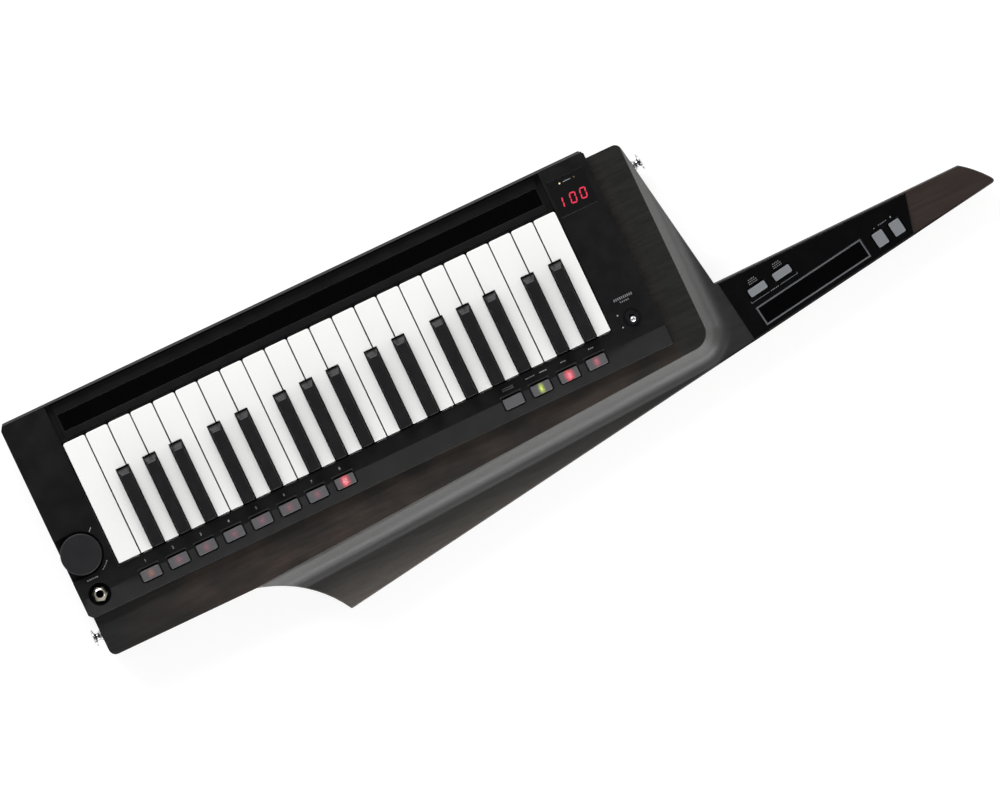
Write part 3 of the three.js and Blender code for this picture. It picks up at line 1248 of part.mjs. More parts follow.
squarePlaces.forEach(({ x, y }, i) => {
  const button = piece(`neck_square_button_${i + 1}`,
    cap(SQUARE_LENGTH, SQUARE_WIDTH, SQUARE_CORNER, NECK_PLATE), lightGrey, controls);
  button.position.set(x, y, NECK_TOP);
  button.rotation.z = NECK_TILT;
});

const keys = new THREE.Group();
keys.position.set(0, PIVOT_Y, PIVOT_Z);
keytar.add(keys);
for (let i = 0; i < WHITE_COUNT; i += 1) {
  const { letter, octave } = whiteNote(i);
  const key = piece(`white_key_${letter}${octave}`, whiteKey(i), ivoryWhite, keys);
  key.position.x = (i + 1 / 2) * WHITE_PITCH;
}
for (let i = 0; i < WHITE_COUNT - 1; i += 1) {
  const middle = blackMiddle(i);
  if (middle !== null) {
    const { letter, octave } = whiteNote(i + 1);
    const key = piece(`black_key_${letter}_sharp_${octave}`, blackKey(), keyBlack, keys);
    key.position.x = middle;
  }
}

// The finished instrument stands over its own origin: the middle of its outline, on its back
const reach = new THREE.Box3().setFromObject(keytar);
const middle = reach.getCenter(new THREE.Vector3());
keytar.position.set(-middle.x, -middle.y, -reach.min.z);

export default keytar;
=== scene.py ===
# %% [markdown]
# This lesson dresses a keytar: a keyboard worn on a strap like a guitar. It has 37 slim keys in a
# black case, a stained wooden body with a spike, and a short neck with a ribbon and four buttons.
# The solids come from a finished frame. Each cell gives one piece its real surface, or replaces a
# plain solid by a piece with rounded edges and small detail, in the same place.
# Lengths are typed in millimetres, as on a workshop drawing, and Blender works in metres.

# %% Load the frame
import math

import bmesh
import bpy
from mathutils import Matrix, Vector


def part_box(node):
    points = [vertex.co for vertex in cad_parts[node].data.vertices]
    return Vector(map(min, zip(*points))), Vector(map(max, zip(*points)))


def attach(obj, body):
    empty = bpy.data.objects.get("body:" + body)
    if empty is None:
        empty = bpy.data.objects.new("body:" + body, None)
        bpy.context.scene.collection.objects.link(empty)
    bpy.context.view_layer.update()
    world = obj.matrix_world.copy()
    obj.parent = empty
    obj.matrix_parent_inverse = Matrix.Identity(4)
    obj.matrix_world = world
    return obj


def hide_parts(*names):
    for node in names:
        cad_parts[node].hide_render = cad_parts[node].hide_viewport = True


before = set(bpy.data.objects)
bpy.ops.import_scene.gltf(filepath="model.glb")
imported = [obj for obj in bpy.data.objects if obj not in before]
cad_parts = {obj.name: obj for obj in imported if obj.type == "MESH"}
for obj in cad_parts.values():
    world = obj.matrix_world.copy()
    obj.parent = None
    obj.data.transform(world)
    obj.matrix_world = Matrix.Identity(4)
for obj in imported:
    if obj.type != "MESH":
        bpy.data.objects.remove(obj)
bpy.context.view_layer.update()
MM = 0.001
print("nodes in the frame:", len(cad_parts))

# %% [markdown]
# The drawing's zero is the front left corner of the row of keys, X runs along the keys and Y
# towards their fronts. The outer white key tells where that corner stands in the frame, so the rest
# of the lesson can use the drawing's numbers.

# %% Where the drawing stands
KEY_SPACING = 1.0
first_key_low, first_key_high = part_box("white_key_c4")
CORNER = Vector((first_key_low.x - KEY_SPACING / 2 * MM, first_key_high.y, 0))


def at(x, y, z=0):
    """A point of the drawing, in millimetres, as a point of the frame, in metres."""
    return CORNER + Vector((x, y, z)) * MM


def drawn(point):
    """A point of the frame as a point of the drawing."""
    return (point - CORNER) / MM


def span(node):
    """The lowest and highest corner of a node, in the drawing's millimetres."""
    low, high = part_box(node)
    return drawn(low), drawn(high)


def centre(node):
    low, high = span(node)
    return (low + high) / 2


def x_at(x):
    """The frame's X of a place in the drawing."""
    return at(x, 0).x


case_low, case_high = span("keyboard_panel")
wood_low, wood_high = span("wood_body")
CASE_TOP = case_high.z
WHITE_TOP = span("white_key_c4")[1].z
NECK_TOP = span("neck_panel")[1].z
HIGH_FLAT = wood_high.z
KEYS_END = span("white_key_c1")[1].x + KEY_SPACING / 2
print("row of keys", round(KEYS_END, 1), "mm, case top", round(CASE_TOP, 1), "mm")

# %% [markdown]
# Blender's operators act on all that is selected, so each step starts by selecting one piece. Edges
# and faces are chosen in code by where they are and which way they face, because nobody is there to
# click on them. The frame's pieces are loose triangles, so a copy is welded before it is shaped.

# %% Helpers for shaping
WELD = 0.002
# The least gap or overlap that keeps two faces apart
HAIR = 0.05
# How far a cutter stands out past what it cuts
OVERCUT = 1
FLAT_TURN = math.radians(0.6)


def only(piece):
    bpy.ops.object.select_all(action="DESELECT")
    piece.select_set(True)
    bpy.context.view_layer.objects.active = piece


def settle(piece):
    """Puts place, turn and size into the mesh, so that the object sits at the origin."""
    only(piece)
    bpy.ops.object.transform_apply(location=True, rotation=True, scale=True)
    return piece


def pick(piece, kind, test):
    """In edit mode, selects the faces or edges that pass a test, and tells how many there are."""
    bpy.ops.mesh.select_mode(type=kind)
    bpy.ops.mesh.select_all(action="DESELECT")
    shape = bmesh.from_edit_mesh(piece.data)
    shape.normal_update()
    parts = shape.faces if kind == "FACE" else shape.edges
    chosen = [part for part in parts if test(part)]
    for part in chosen:
        part.select_set(True)
    shape.select_flush_mode()
    bmesh.update_edit_mesh(piece.data)
    return len(chosen)


def merged_copy(node, name):
    """A welded copy of a frame piece, with its flat triangles joined into whole faces."""
    piece = bpy.data.objects.new(name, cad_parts[node].data.copy())
    bpy.context.scene.collection.objects.link(piece)
    piece.data.materials.clear()
    only(piece)
    bpy.ops.mesh.customdata_custom_splitnormals_clear()
    bpy.ops.object.mode_set(mode="EDIT")
    bpy.ops.mesh.select_all(action="SELECT")
    bpy.ops.mesh.remove_doubles(threshold=WELD * MM)
    bpy.ops.mesh.dissolve_limited(angle_limit=FLAT_TURN)
    bpy.ops.mesh.select_all(action="SELECT")
    bpy.ops.mesh.vert_connect_concave()
    bpy.ops.object.mode_set(mode="OBJECT")
    return piece


def soften(piece, width, keep=None, segments=2, least_turn=30, leave=None):
    """Rounds the outward edges that turn enough, where both ends pass the first test of drawing
    points and one of them fails the second."""
    only(piece)
    bpy.ops.object.mode_set(mode="EDIT")

    def chosen(edge):
        if len(edge.link_faces) != 2 or not edge.is_convex:
            return False
        if edge.calc_face_angle() < math.radians(least_turn):
            return False
        ends = [drawn(vertex.co) for vertex in edge.verts]
        if leave and all(leave(end) for end in ends):
            return False
        return keep is None or all(keep(end) for end in ends)

    count = pick(piece, "EDGE", chosen)
    if count:
        bpy.ops.mesh.bevel(offset=width * MM, segments=segments, affect="EDGES", clamp_overlap=False)
    bpy.ops.object.mode_set(mode="OBJECT")
    return count


def smooth(piece, turn=38, crisp=None):
    """Soft shading across small turns, with flat faces kept flat and the edges of a test crisp."""
    only(piece)
    bpy.ops.object.shade_smooth_by_angle(angle=math.radians(turn))
    if crisp:
        bpy.ops.object.mode_set(mode="EDIT")
        pick(piece, "EDGE", crisp)
        bpy.ops.mesh.mark_sharp()
        bpy.ops.object.mode_set(mode="OBJECT")
    weights = piece.modifiers.new("flat faces lead", "WEIGHTED_NORMAL")
    weights.keep_sharp = True
    bpy.ops.object.modifier_apply(modifier=weights.name)
    return piece


def block(name, low, high):
    """A cube primitive that fills a span of the drawing."""
    low, high = Vector(low), Vector(high)
    bpy.ops.object.select_all(action="DESELECT")
    bpy.ops.mesh.primitive_cube_add(size=1, location=at(*((low + high) / 2)), scale=(high - low) * MM)
    piece = bpy.context.object
    piece.name = name
    return settle(piece)


def slab(name, length, width, thick):
    """A cube primitive of a size in millimetres, round the origin."""
    bpy.ops.object.select_all(action="DESELECT")
    bpy.ops.mesh.primitive_cube_add(size=1, scale=Vector((length, width, thick)) * MM)
    piece = bpy.context.object
    piece.name = name
    return settle(piece)


def turned(name, outline, steps=48):
    """Spins an outline of radius and height round the Z axis, from the axis back to the axis."""
    bpy.ops.object.select_all(action="DESELECT")
    bpy.ops.mesh.primitive_plane_add(size=1)
    piece = bpy.context.object
    piece.name = name
    bpy.ops.object.mode_set(mode="EDIT")
    bpy.ops.mesh.select_mode(type="VERT")
    bpy.ops.mesh.select_all(action="SELECT")
    bpy.ops.mesh.merge(type="CENTER")
    points = [Vector((radius, 0, height)) * MM for radius, height in outline]
    bpy.ops.transform.translate(value=points[0])
    for before, after in zip(points, points[1:]):
        bpy.ops.mesh.extrude_region_move(TRANSFORM_OT_translate={"value": after - before})
    bpy.ops.mesh.select_all(action="SELECT")
    bpy.ops.mesh.spin(steps=steps, angle=2 * math.pi, center=(0, 0, 0), axis=(0, 0, 1))
    bpy.ops.mesh.select_all(action="SELECT")
    bpy.ops.mesh.remove_doubles(threshold=WELD * MM)
    bpy.ops.mesh.normals_make_consistent(inside=False)
    bpy.ops.object.mode_set(mode="OBJECT")
    return piece


def put(piece, place, turn=None):
    """Moves a piece that was made round the origin to its place."""
    piece.matrix_world = Matrix.Translation(place) @ (turn or Matrix.Identity(4))
    bpy.context.view_layer.update()
    return settle(piece)


def twin(piece, name):
    """A copy with a mesh of its own."""
    copy = bpy.data.objects.new(name, piece.data.copy())
    bpy.context.scene.collection.objects.link(copy)
    return copy


def joined(name, pieces):
    bpy.ops.object.select_all(action="DESELECT")
    for piece in pieces:
        piece.select_set(True)
    bpy.context.view_layer.objects.active = pieces[0]
    if len(pieces) > 1:
        bpy.ops.object.join()
    whole = bpy.context.view_layer.objects.active
    whole.name = name
    return whole


def carve(piece, cutter, operation="DIFFERENCE"):
    """Cuts one piece out of another, or keeps what they share, and throws the cutter away."""
    only(piece)
    cut = piece.modifiers.new("cut", "BOOLEAN")
    cut.operation = operation
    cut.solver = "EXACT"
    cut.object = cutter
    bpy.ops.object.modifier_apply(modifier=cut.name)
    bpy.data.objects.remove(cutter)
    return piece


def done(piece, finishes, body, slot, *nodes):
    """Gives a finished piece its materials and its body, and hides the frame nodes that it stands for; slot
    is not used.
    """
    for finish in finishes if isinstance(finishes, list) else [finishes]:
        piece.data.materials.append(finish)
    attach(piece, body)
    if nodes:
        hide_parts(*nodes)
    return piece


print("points closer than", WELD, "mm are welded")

# %% [markdown]
# A material here is one Principled shader with a few procedural patterns. Their sizes come from the
# real surface in millimetres. Colours are written as sRGB hex values, as a colour picker shows them,
# and one function turns them to the linear values that Blender's shaders use.

# %% Helpers for materials
FULL_ALPHA = 1.0


def linear(code):
    """The linear colour of an sRGB hex value."""
    channels = [int(code[i:i + 2], 16) / 255 for i in (0, 2, 4)]
    curved = [c / 12.92 if c <= 0.04045 else ((c + 0.055) / 1.055) ** 2.4 for c in channels]
    return [*curved, FULL_ALPHA]


def add(tree, kind, sockets=None, **settings):
    """Adds a node, sets its properties, and gives each socket a value or a link from an output."""
    node = tree.nodes.new("ShaderNode" + kind)
    for name, value in settings.items():
        setattr(node, name, value)
    for socket, value in (sockets or {}).items():
        if isinstance(value, bpy.types.NodeSocket):
            tree.links.new(value, node.inputs[socket])
        else:
            node.inputs[socket].default_value = value
    return node


def blank(name):
    """A new material, its empty node tree, and the place on the piece that patterns read."""
    finish = bpy.data.materials.new(name)
    finish.use_nodes = True
    tree = finish.node_tree
    tree.nodes.clear()
    place = add(tree, "TexCoord").outputs["Object"]
    return finish, tree, place


def shown(tree, sockets):
    """Closes a material with its one shader."""
    shader = add(tree, "BsdfPrincipled", sockets)
    add(tree, "OutputMaterial", {"Surface": shader.outputs[0]})


def blotches(place, size, detail=2):
    """What a noise needs for blotches about this many millimetres wide."""
    return {"Vector": place, "Scale": 1 / (size * MM), "Detail": detail}


def rise(source, low, high, first=0.0, last=1.0):
    """What a range needs to turn low to high into first to last."""
    return {"Value": source, "From Min": low, "From Max": high, "To Min": first, "To Max": last}


print("white in linear values:", linear("ffffff"))

# %% [markdown]
# The case, the keys, the knob and the caps are all moulded plastic. A mould leaves a very fine even
# grain, the sheen wanders a little where hands have rubbed it, and the colour is never quite even.
# So one recipe makes them all, with its own colours, roughness and grain for each plastic.

# %% Moulded plastics
CLOUD_SIZE = 60
CLOUD_DETAIL = 3
SMUDGE_SIZE = 14
SMUDGE_DETAIL = 5
NOISE_LOW = 0.35
NOISE_HIGH = 0.65


def moulded(name, colour, other, roughness, play, grain, depth, constants=None):
    """Two shades in clouds, a sheen that wanders by its play, and a grain so wide and so deep."""
    finish, tree, place = blank(name)
    clouds = add(tree, "TexNoise", blotches(place, CLOUD_SIZE, CLOUD_DETAIL)).outputs[0]
    smudges = add(tree, "TexNoise", blotches(place, SMUDGE_SIZE, SMUDGE_DETAIL)).outputs[0]
    grains = add(tree, "TexNoise", blotches(place, grain, 1)).outputs[0]
    tint = add(tree, "Mix", {0: clouds, 6: linear(colour), 7: linear(other)}, data_type="RGBA")
    sheen = add(tree, "MapRange", rise(smudges, NOISE_LOW, NOISE_HIGH, roughness - play, roughness + play))
    relief = add(tree, "Bump", {"Height": grains, "Strength": 1, "Distance": depth * MM})
    shown(tree, {
        "Base Color": tint.outputs[2],
        "Roughness": sheen.outputs[0],
        "Normal": relief.outputs[0],
        **(constants or {}),
    })
    return finish


# The black plastics mirror less than clear ones: their fine grain and dust break the reflection up
DULL = {"Specular IOR Level": 0.3}
SATIN = {"Specular IOR Level": 0.4}
MATT = {"Specular IOR Level": 0.1}
# Each row: name, two shades, roughness and its play, width and depth of the grain, other settings
PLASTICS = [
    # Satin moulded ABS: a soft broad sheen on black, with a grain that only shows close up
    ("satin_black_abs", "0b0b0c", "0e0e10", 0.4, 0.04, 0.5, 0.006, DULL),
    # Textured moulded ABS of the back: rougher, because the mould was spark eroded
    ("textured_black_abs", "141415", "18181a", 0.58, 0.05, 0.9, 0.03),
    # Polished ABS plate of the neck: nearly a mirror, with faint finger marks
    ("polished_black_abs", "070708", "0a0a0b", 0.16, 0.04, 2.5, 0.001),
    # Polished white key plastic: clean, bright and slightly warm
    ("polished_white_key_plastic", "f6f6f4", "f8f8f7", 0.26, 0.012, 3, 0.001),
    # The sides of the white keys come matt from the mould; their grey is a painted shade in the gaps
    # between keys
    ("matt_white_key_sides_painted_shade", "b0b0ae", "b8b8b6", 0.6, 0.05, 0.8, 0.01),
    # Satin black key plastic: a soft sheen from many fingers
    ("satin_black_key_plastic", "151516", "19191b", 0.34, 0.03, 0.6, 0.003, SATIN),
    # The same plastic on the sides of the black keys, where the mould leaves it matt; its darker colour is
    # a painted shade
    ("matt_black_key_sides_painted_shade", "060607", "0a0a0b", 0.7, 0.05, 0.6, 0.01, MATT),
    # Moulded dial of the same ABS, a little more matt on top
    ("matt_black_abs", "1b1b1d", "1f1f21", 0.46, 0.04, 0.45, 0.006, DULL),
    # Light grey ABS of the neck buttons
    ("light_grey_abs", "74777b", "84878b", 0.42, 0.05, 0.5, 0.004),
    # The same caps below the plate, and the case's hollows, in a painted shade that makes them nearly black
    ("black_abs_painted_shade", "08080a", "0d0d0f", 0.7, 0.05, 0.5, 0.004, MATT),
    # Grey glass-filled nylon of the chassis under the keys
    ("grey_filled_nylon", "36373a", "3e3f42", 0.55, 0.06, 0.7, 0.02),
    # Black PET film of the ribbons: deep black and glossy
    ("gloss_black_film", "020202", "030304", 0.1, 0.03, 6, 0.001),
    # Satin lacquer of the short ribbon's rim, a cool grey
    ("grey_rim_lacquer", "55565a", "5d5e62", 0.4, 0.05, 0.6, 0.003),
    # White pad-printing ink: matt and slightly uneven
    ("white_printing_ink", "a4a4aa", "bababe", 0.6, 0.05, 0.3, 0.002),
    # The smaller lettering is printed thinner, so the black shows through it
    ("thin_grey_printing_ink", "707074", "828286", 0.6, 0.05, 0.3, 0.002),
    # Smoked acrylic of the display window: dark and very smooth
    ("smoked_acrylic", "161617", "19191a", 0.07, 0.03, 8, 0.001),
    # Black nylon inside the sockets
    ("black_nylon", "101011", "161617", 0.5, 0.05, 0.5, 0.005, DULL),
    # Green lacquer over woven glass: a gloss coat whose weave just shows
    ("green_solder_mask", "10402a", "164c33", 0.28, 0.06, 0.8, 0.01),
    # Flat cable: milky plastic over tinned wires
    ("milky_cable_plastic", "b9b7ae", "c4c2ba", 0.45, 0.06, 1.3, 0.02),
]
(
    case_abs, cover_abs, plate_abs, white_plastic, white_side_painted_shade, black_plastic,
    black_side_painted_shade, dial_abs, light_grey_abs, painted_shade_abs, chassis_nylon, ribbon_film,
    rim_lacquer, print_ink, faint_ink, smoked_acrylic, socket_nylon, solder_mask, cable_plastic,
) = [moulded(*row) for row in PLASTICS]
print("materials so far:", len(bpy.data.materials))

# %% [markdown]
# The body is fine-grained wood under a black-brown stain and a thin satin lacquer. The stain takes
# unevenly: broad brown patches show through, faint streaks follow the grain, and the pores stay as
# short dark dashes. All three are noise stretched along X, the way that the grain runs. The hollow
# slope's light and shade are painted in bands: a grey painted highlight at its rim, painted shade,
# nearly black, at its foot, and browner again towards the outer edge. So that colour follows from how
# far a place lies from the high flat's rim, and upright sides keep the bare stain.

# %% Stained wood and painted slope light
PATCH_SIZE = 26
PATCH_STRETCH = 1.6
PATCH_DETAIL = 4
PATCH_LOW = 0.42
PATCH_HIGH = 0.64
STREAK_SIZE = 2.6
STREAK_STRETCH = 12
STREAK_DETAIL = 3
STREAK_DARK = 0.93
STREAK_BRIGHT = 1.06
PORE_SIZE = 0.5
PORE_STRETCH = 12
PORE_LOW = 0.64
PORE_HIGH = 0.74
PORE_DARKNESS = 0.6
PORE_DEPTH = 0.02
LACQUER_SMOOTHEST = 0.38
LACQUER_ROUGHEST = 0.46
FLAT_RUN = 29
WOOD_BEHIND = 35
FLAT_RIGHT = case_high.x + FLAT_RUN
FLAT_CORNER = 14
FLAT_EDGE_RISE = 23.4
SCALLOP_START = 131
WOOD_BACK = case_low.y - WOOD_BEHIND
SLOPE_LIGHT_REACH = 50
# Distance from the rim in millimetres, and the colour painted there: highlight and shade of the slope, then
# the ledge
SLOPE_LIGHT_BANDS = [
    (0, "504f4e"), (5, "4b4b4a"), (8, "343434"), (13, "383838"), (17, "2f2f2f"), (20, "2a2a29"),
    (25, "2e2d2b"), (31, "393633"), (38, "423e3b"), (46, "4f4a46"),
]
RIM_INNER_BLUR = 0.3
RIM_OUTER_BLUR = 0.5
SHOULDER_START = 430
SHOULDER_RUN_UP = 70
FOOT_START = 9
FOOT_END = 18
DARK_LEFT_RUN = 110
DARK_RIGHT_LEAD = 4
DARK_RIGHT_RUN = 12
TIP_START = 700
TIP_RUN = 12
SIDE_FACING = 0.3


def stained_wood():
    finish, tree, place = blank("black_stained_mahogany_painted_slope")

    def along_grain(size, stretch, detail):
        grain = add(tree, "Mapping", {"Vector": place, "Scale": (1 / stretch, 1, 1)})
        return add(tree, "TexNoise", blotches(grain.outputs[0], size, detail)).outputs[0]

    patches = along_grain(PATCH_SIZE, PATCH_STRETCH, PATCH_DETAIL)
    streaks = along_grain(STREAK_SIZE, STREAK_STRETCH, STREAK_DETAIL)
    pores = along_grain(PORE_SIZE, PORE_STRETCH, 1)
    # Distance from the rim of the high flat, whose corner is round
    apart = add(tree, "SeparateXYZ", {0: place}).outputs
    slope = FLAT_EDGE_RISE / (FLAT_RIGHT - wood_low.x - SCALLOP_START)
    corner = at(FLAT_RIGHT, WOOD_BACK + FLAT_EDGE_RISE)
    radius = FLAT_CORNER * MM
    line_start = corner.y - corner.x * slope
    edge = add(tree, "Math", {0: apart[0], 1: slope, 2: line_start}, operation="MULTIPLY_ADD")
    behind = add(tree, "Math", {0: edge.outputs[0], 1: apart[1]}, operation="SUBTRACT")
    beside = add(tree, "Math", {0: apart[0], 1: corner.x}, operation="SUBTRACT")
    arc = add(tree, "CombineXYZ", {0: beside.outputs[0], 1: behind.outputs[0]})
    for operation, term in (("ADD", (radius, radius, 0)), ("MAXIMUM", (0, 0, 0))):
        arc = add(tree, "VectorMath", {0: arc.outputs[0], 1: term}, operation=operation)
    length = add(tree, "VectorMath", {0: arc.outputs[0]}, operation="LENGTH").outputs["Value"]
    from_rim = add(tree, "Math", {0: length, 1: radius}, operation="SUBTRACT").outputs[0]
    reach = add(tree, "MapRange", rise(from_rim, 0, SLOPE_LIGHT_REACH * MM))
    bands = add(tree, "ValToRGB", {0: reach.outputs[0]})
    stops = bands.color_ramp.elements
    for position, colour in SLOPE_LIGHT_BANDS:
        stop = stops.new(position / SLOPE_LIGHT_REACH)
        stop.color = linear(colour)
    stops.remove(stops[0])
    stops.remove(stops[-1])
    # Where each coat lies, as shares from none to all
    facing = add(tree, "SeparateXYZ", {0: add(tree, "NewGeometry").outputs["Normal"]}).outputs
    ranges = {
        "patch": (patches, PATCH_LOW, PATCH_HIGH),
        "right": (apart[0], x_at(case_high.x - DARK_RIGHT_LEAD), x_at(case_high.x + DARK_RIGHT_RUN)),
        "left": (apart[0], x_at(wood_low.x + DARK_LEFT_RUN), x_at(wood_low.x)),
        "shoulder": (apart[0], x_at(SHOULDER_START), x_at(SHOULDER_START + SHOULDER_RUN_UP)),
        "foot": (from_rim, FOOT_START * MM, FOOT_END * MM),
        "outside": (from_rim, -RIM_INNER_BLUR * MM, RIM_OUTER_BLUR * MM),
        "tip": (apart[0], x_at(TIP_START), x_at(TIP_START + TIP_RUN)),
        "side": (facing[2], SIDE_FACING, SIDE_FACING / 2),
        "pore": (pores, PORE_LOW, PORE_HIGH),
    }
    share = {name: add(tree, "MapRange", rise(*ends)).outputs[0] for name, ends in ranges.items()}
    for name, one, other in (("low", "shoulder", share["foot"]), ("ink", "pore", PORE_DARKNESS)):
        share[name] = add(tree, "Math", {0: share[one], 1: other}, operation="MULTIPLY").outputs[0]
    # Each coat has a name, the share that it follows, and the two colours or coats that it mixes
    coats = [
        ("bare", "patch", "24201d", "362d28"),
        ("right end", "right", "bare", "191918"),
        ("flat", "left", "right end", "161617"),
        # The hollow slope's painted light and shade, with a flat dark grey past its foot by the shoulder
        ("slope_light", "low", "bands", "212121"),
        ("top", "outside", "flat", "slope_light"),
        ("tipped", "tip", "top", "2c221e"),
        ("whole", "side", "tipped", "bare"),
    ]
    coloured = {"bands": bands.outputs[0]}
    for name, where, *pair in coats:
        under, over = [coloured[coat] if coat in coloured else linear(coat) for coat in pair]
        coat = add(tree, "Mix", {0: share[where], 6: under, 7: over}, data_type="RGBA")
        coloured[name] = coat.outputs[2]
    streak = add(tree, "MapRange", rise(streaks, NOISE_LOW, NOISE_HIGH, STREAK_DARK, STREAK_BRIGHT))
    streaked = add(tree, "Mix", {0: 1.0, 6: coloured["whole"], 7: streak.outputs[0]},
        data_type="RGBA", blend_type="MULTIPLY")
    inked = add(tree, "Mix", {0: share["ink"], 6: streaked.outputs[2], 7: linear("121010")},
        data_type="RGBA")
    sheen = add(tree, "MapRange", rise(streaks, NOISE_LOW, NOISE_HIGH, LACQUER_SMOOTHEST, LACQUER_ROUGHEST))
    relief = add(tree, "Bump", {"Height": share["pore"], "Strength": 1, "Distance": PORE_DEPTH * MM},
        invert=True)
    shown(tree, {
        "Base Color": inked.outputs[2],
        "Roughness": sheen.outputs[0],
        "Normal": relief.outputs[0],
        "Specular IOR Level": 0.4,
        "Coat Weight": 0.2,
        "Coat Roughness": 0.25,
    })
    return finish


mahogany = stained_wood()
print("nodes in the wood:", len(mahogany.node_tree.nodes))

# %% [markdown]
# A plated metal is a mirror with a colour. The colour goes in as the base colour, metallic is 1, and
# a little noise in the roughness keeps the highlight from looking like glass.

# %% Plated metals
PLATE_CLOUD = 3


def plated(name, colour, smoothest, roughest):
    finish, tree, place = blank(name)
    clouds = add(tree, "TexNoise", blotches(place, PLATE_CLOUD, CLOUD_DETAIL)).outputs[0]
    sheen = add(tree, "MapRange", rise(clouds, 0, 1, smoothest, roughest)).outputs[0]
    shown(tree, {"Base Color": linear(colour), "Metallic": 1.0, "Roughness": sheen})
    return finish


# Chrome plate of the lever and the strap pins: a cool, sharp mirror
chrome = plated("chrome_plate", "cfd0d2", 0.06, 0.2)
# Nickel plate of nuts and bushes: warmer, with a slightly soft mirror
nickel = plated("nickel_plate", "e2ddcf", 0.16, 0.3)
# Black-oxide steel of the screws on the back: a dark, soft mirror
black_steel = plated("black_oxide_steel", "3c3c3f", 0.3, 0.45)
print("metals:", chrome.name, nickel.name, black_steel.name)

# %% [markdown]
# The caps are translucent grey silicone over small lamps. A lit cap glows in an upright oval in its
# middle, hot in the core and coloured round it. The caps stand at an even pitch, so wrapping the X
# coordinate at that pitch puts the same oval on each one. Down in its slot a cap gets a painted shade
# that makes it nearly black, and its glow is put out there.

# %% Lit silicone
BUTTON_PITCH = 25.27
PROGRAM_START = 20.9
PROGRAM_COUNT = 8
FUNCTION_START = 351.2
FUNCTION_COUNT = 4
FOLD_Y = -123.5
BUTTONS_BEYOND_FOLD = 3.4
BUTTON_Y = FOLD_Y - BUTTONS_BEYOND_FOLD
BAND_FALL = 4
BAND_RUN = 17
BAND_ANGLE = math.atan(BAND_FALL / BAND_RUN)
SKIN_CLOUD = 5
SKIN_GRAIN = 0.4
SKIN_DEPTH = 0.004
SKIN_SMOOTHEST = 0.42
SKIN_ROUGHEST = 0.6
HOT_CORE = 0.55
GLOW_MOTTLE = 1.7
GLOW_FAINTEST = 0.55
GLOW_STRONGEST = 1.35
SLOT_SHADE_LOW = 0.2
SLOT_SHADE_HIGH = 0.9


def silicone(name, start, glow, core, strength, wide, high, sink):
    """start is the X of a cap's middle; wide, high and sink are the oval's size and how low it sits."""
    finish, tree, place = blank(name)
    apart = add(tree, "SeparateXYZ", {0: place}).outputs
    middle = at(start, BUTTON_Y - sink)
    fold = at(0, FOLD_Y, CASE_TOP)
    # Height over the sloping band: down in their slots the caps get a painted shade, nearly black
    beyond = add(tree, "Math", {0: apart[1], 1: fold.y}, operation="SUBTRACT").outputs[0]
    band = add(tree, "Math", {0: beyond, 1: math.tan(BAND_ANGLE), 2: fold.z}, operation="MULTIPLY_ADD")
    above = add(tree, "Math", {0: apart[2], 1: band.outputs[0]}, operation="SUBTRACT").outputs[0]
    in_light = add(tree, "MapRange", rise(above, SLOT_SHADE_LOW * MM, SLOT_SHADE_HIGH * MM)).outputs[0]
    clouds = add(tree, "TexNoise", blotches(place, SKIN_CLOUD, CLOUD_DETAIL)).outputs[0]
    grey = add(tree, "Mix", {0: clouds, 6: linear("4b4a4d"), 7: linear("57565a")}, data_type="RGBA")
    tint = add(tree, "Mix", {0: in_light, 6: linear("050505"), 7: grey.outputs[2]}, data_type="RGBA")
    # How far a place lies from the middle of its oval, as a share of the oval's size
    half_pitch = BUTTON_PITCH * MM / 2
    half_size = (wide / 2 * MM, high / 2 * MM, 1)
    left = add(tree, "Math", {0: apart[0], 1: middle.x}, operation="SUBTRACT").outputs[0]
    wrapped = add(tree, "Math", {0: left, 1: half_pitch, 2: -half_pitch}, operation="WRAP").outputs[0]
    upright = add(tree, "Math", {0: apart[1], 1: middle.y}, operation="SUBTRACT").outputs[0]
    offset = add(tree, "CombineXYZ", {0: wrapped, 1: upright}).outputs[0]
    oval = add(tree, "VectorMath", {0: offset, 1: half_size}, operation="DIVIDE").outputs[0]
    away = add(tree, "VectorMath", {0: oval}, operation="LENGTH").outputs["Value"]
    fall = add(tree, "MapRange", rise(away, 1, 0), interpolation_type="SMOOTHSTEP").outputs[0]
    hot = add(tree, "MapRange", rise(fall, HOT_CORE, 1)).outputs[0]
    light = add(tree, "Mix", {0: hot, 6: linear(glow), 7: linear(core)}, data_type="RGBA")
    spots = add(tree, "TexNoise", blotches(place, GLOW_MOTTLE, 1)).outputs[0]
    power = add(tree, "MapRange", rise(spots, NOISE_LOW, NOISE_HIGH, strength * GLOW_FAINTEST,
        strength * GLOW_STRONGEST)).outputs[0]
    for factor in (fall, in_light):
        power = add(tree, "Math", {0: power, 1: factor}, operation="MULTIPLY").outputs[0]
    grain = add(tree, "TexNoise", blotches(place, SKIN_GRAIN, 1)).outputs[0]
    relief = add(tree, "Bump", {"Height": grain, "Strength": 1, "Distance": SKIN_DEPTH * MM})
    sheen = add(tree, "MapRange", rise(clouds, 0, 1, SKIN_SMOOTHEST, SKIN_ROUGHEST))
    shown(tree, {
        "Base Color": tint.outputs[2],
        "Roughness": sheen.outputs[0],
        "Normal": relief.outputs[0],
        "Emission Color": light.outputs[2],
        "Emission Strength": power,
        "Subsurface Weight": 0.1,
        "Subsurface Scale": MM,
    })
    return finish


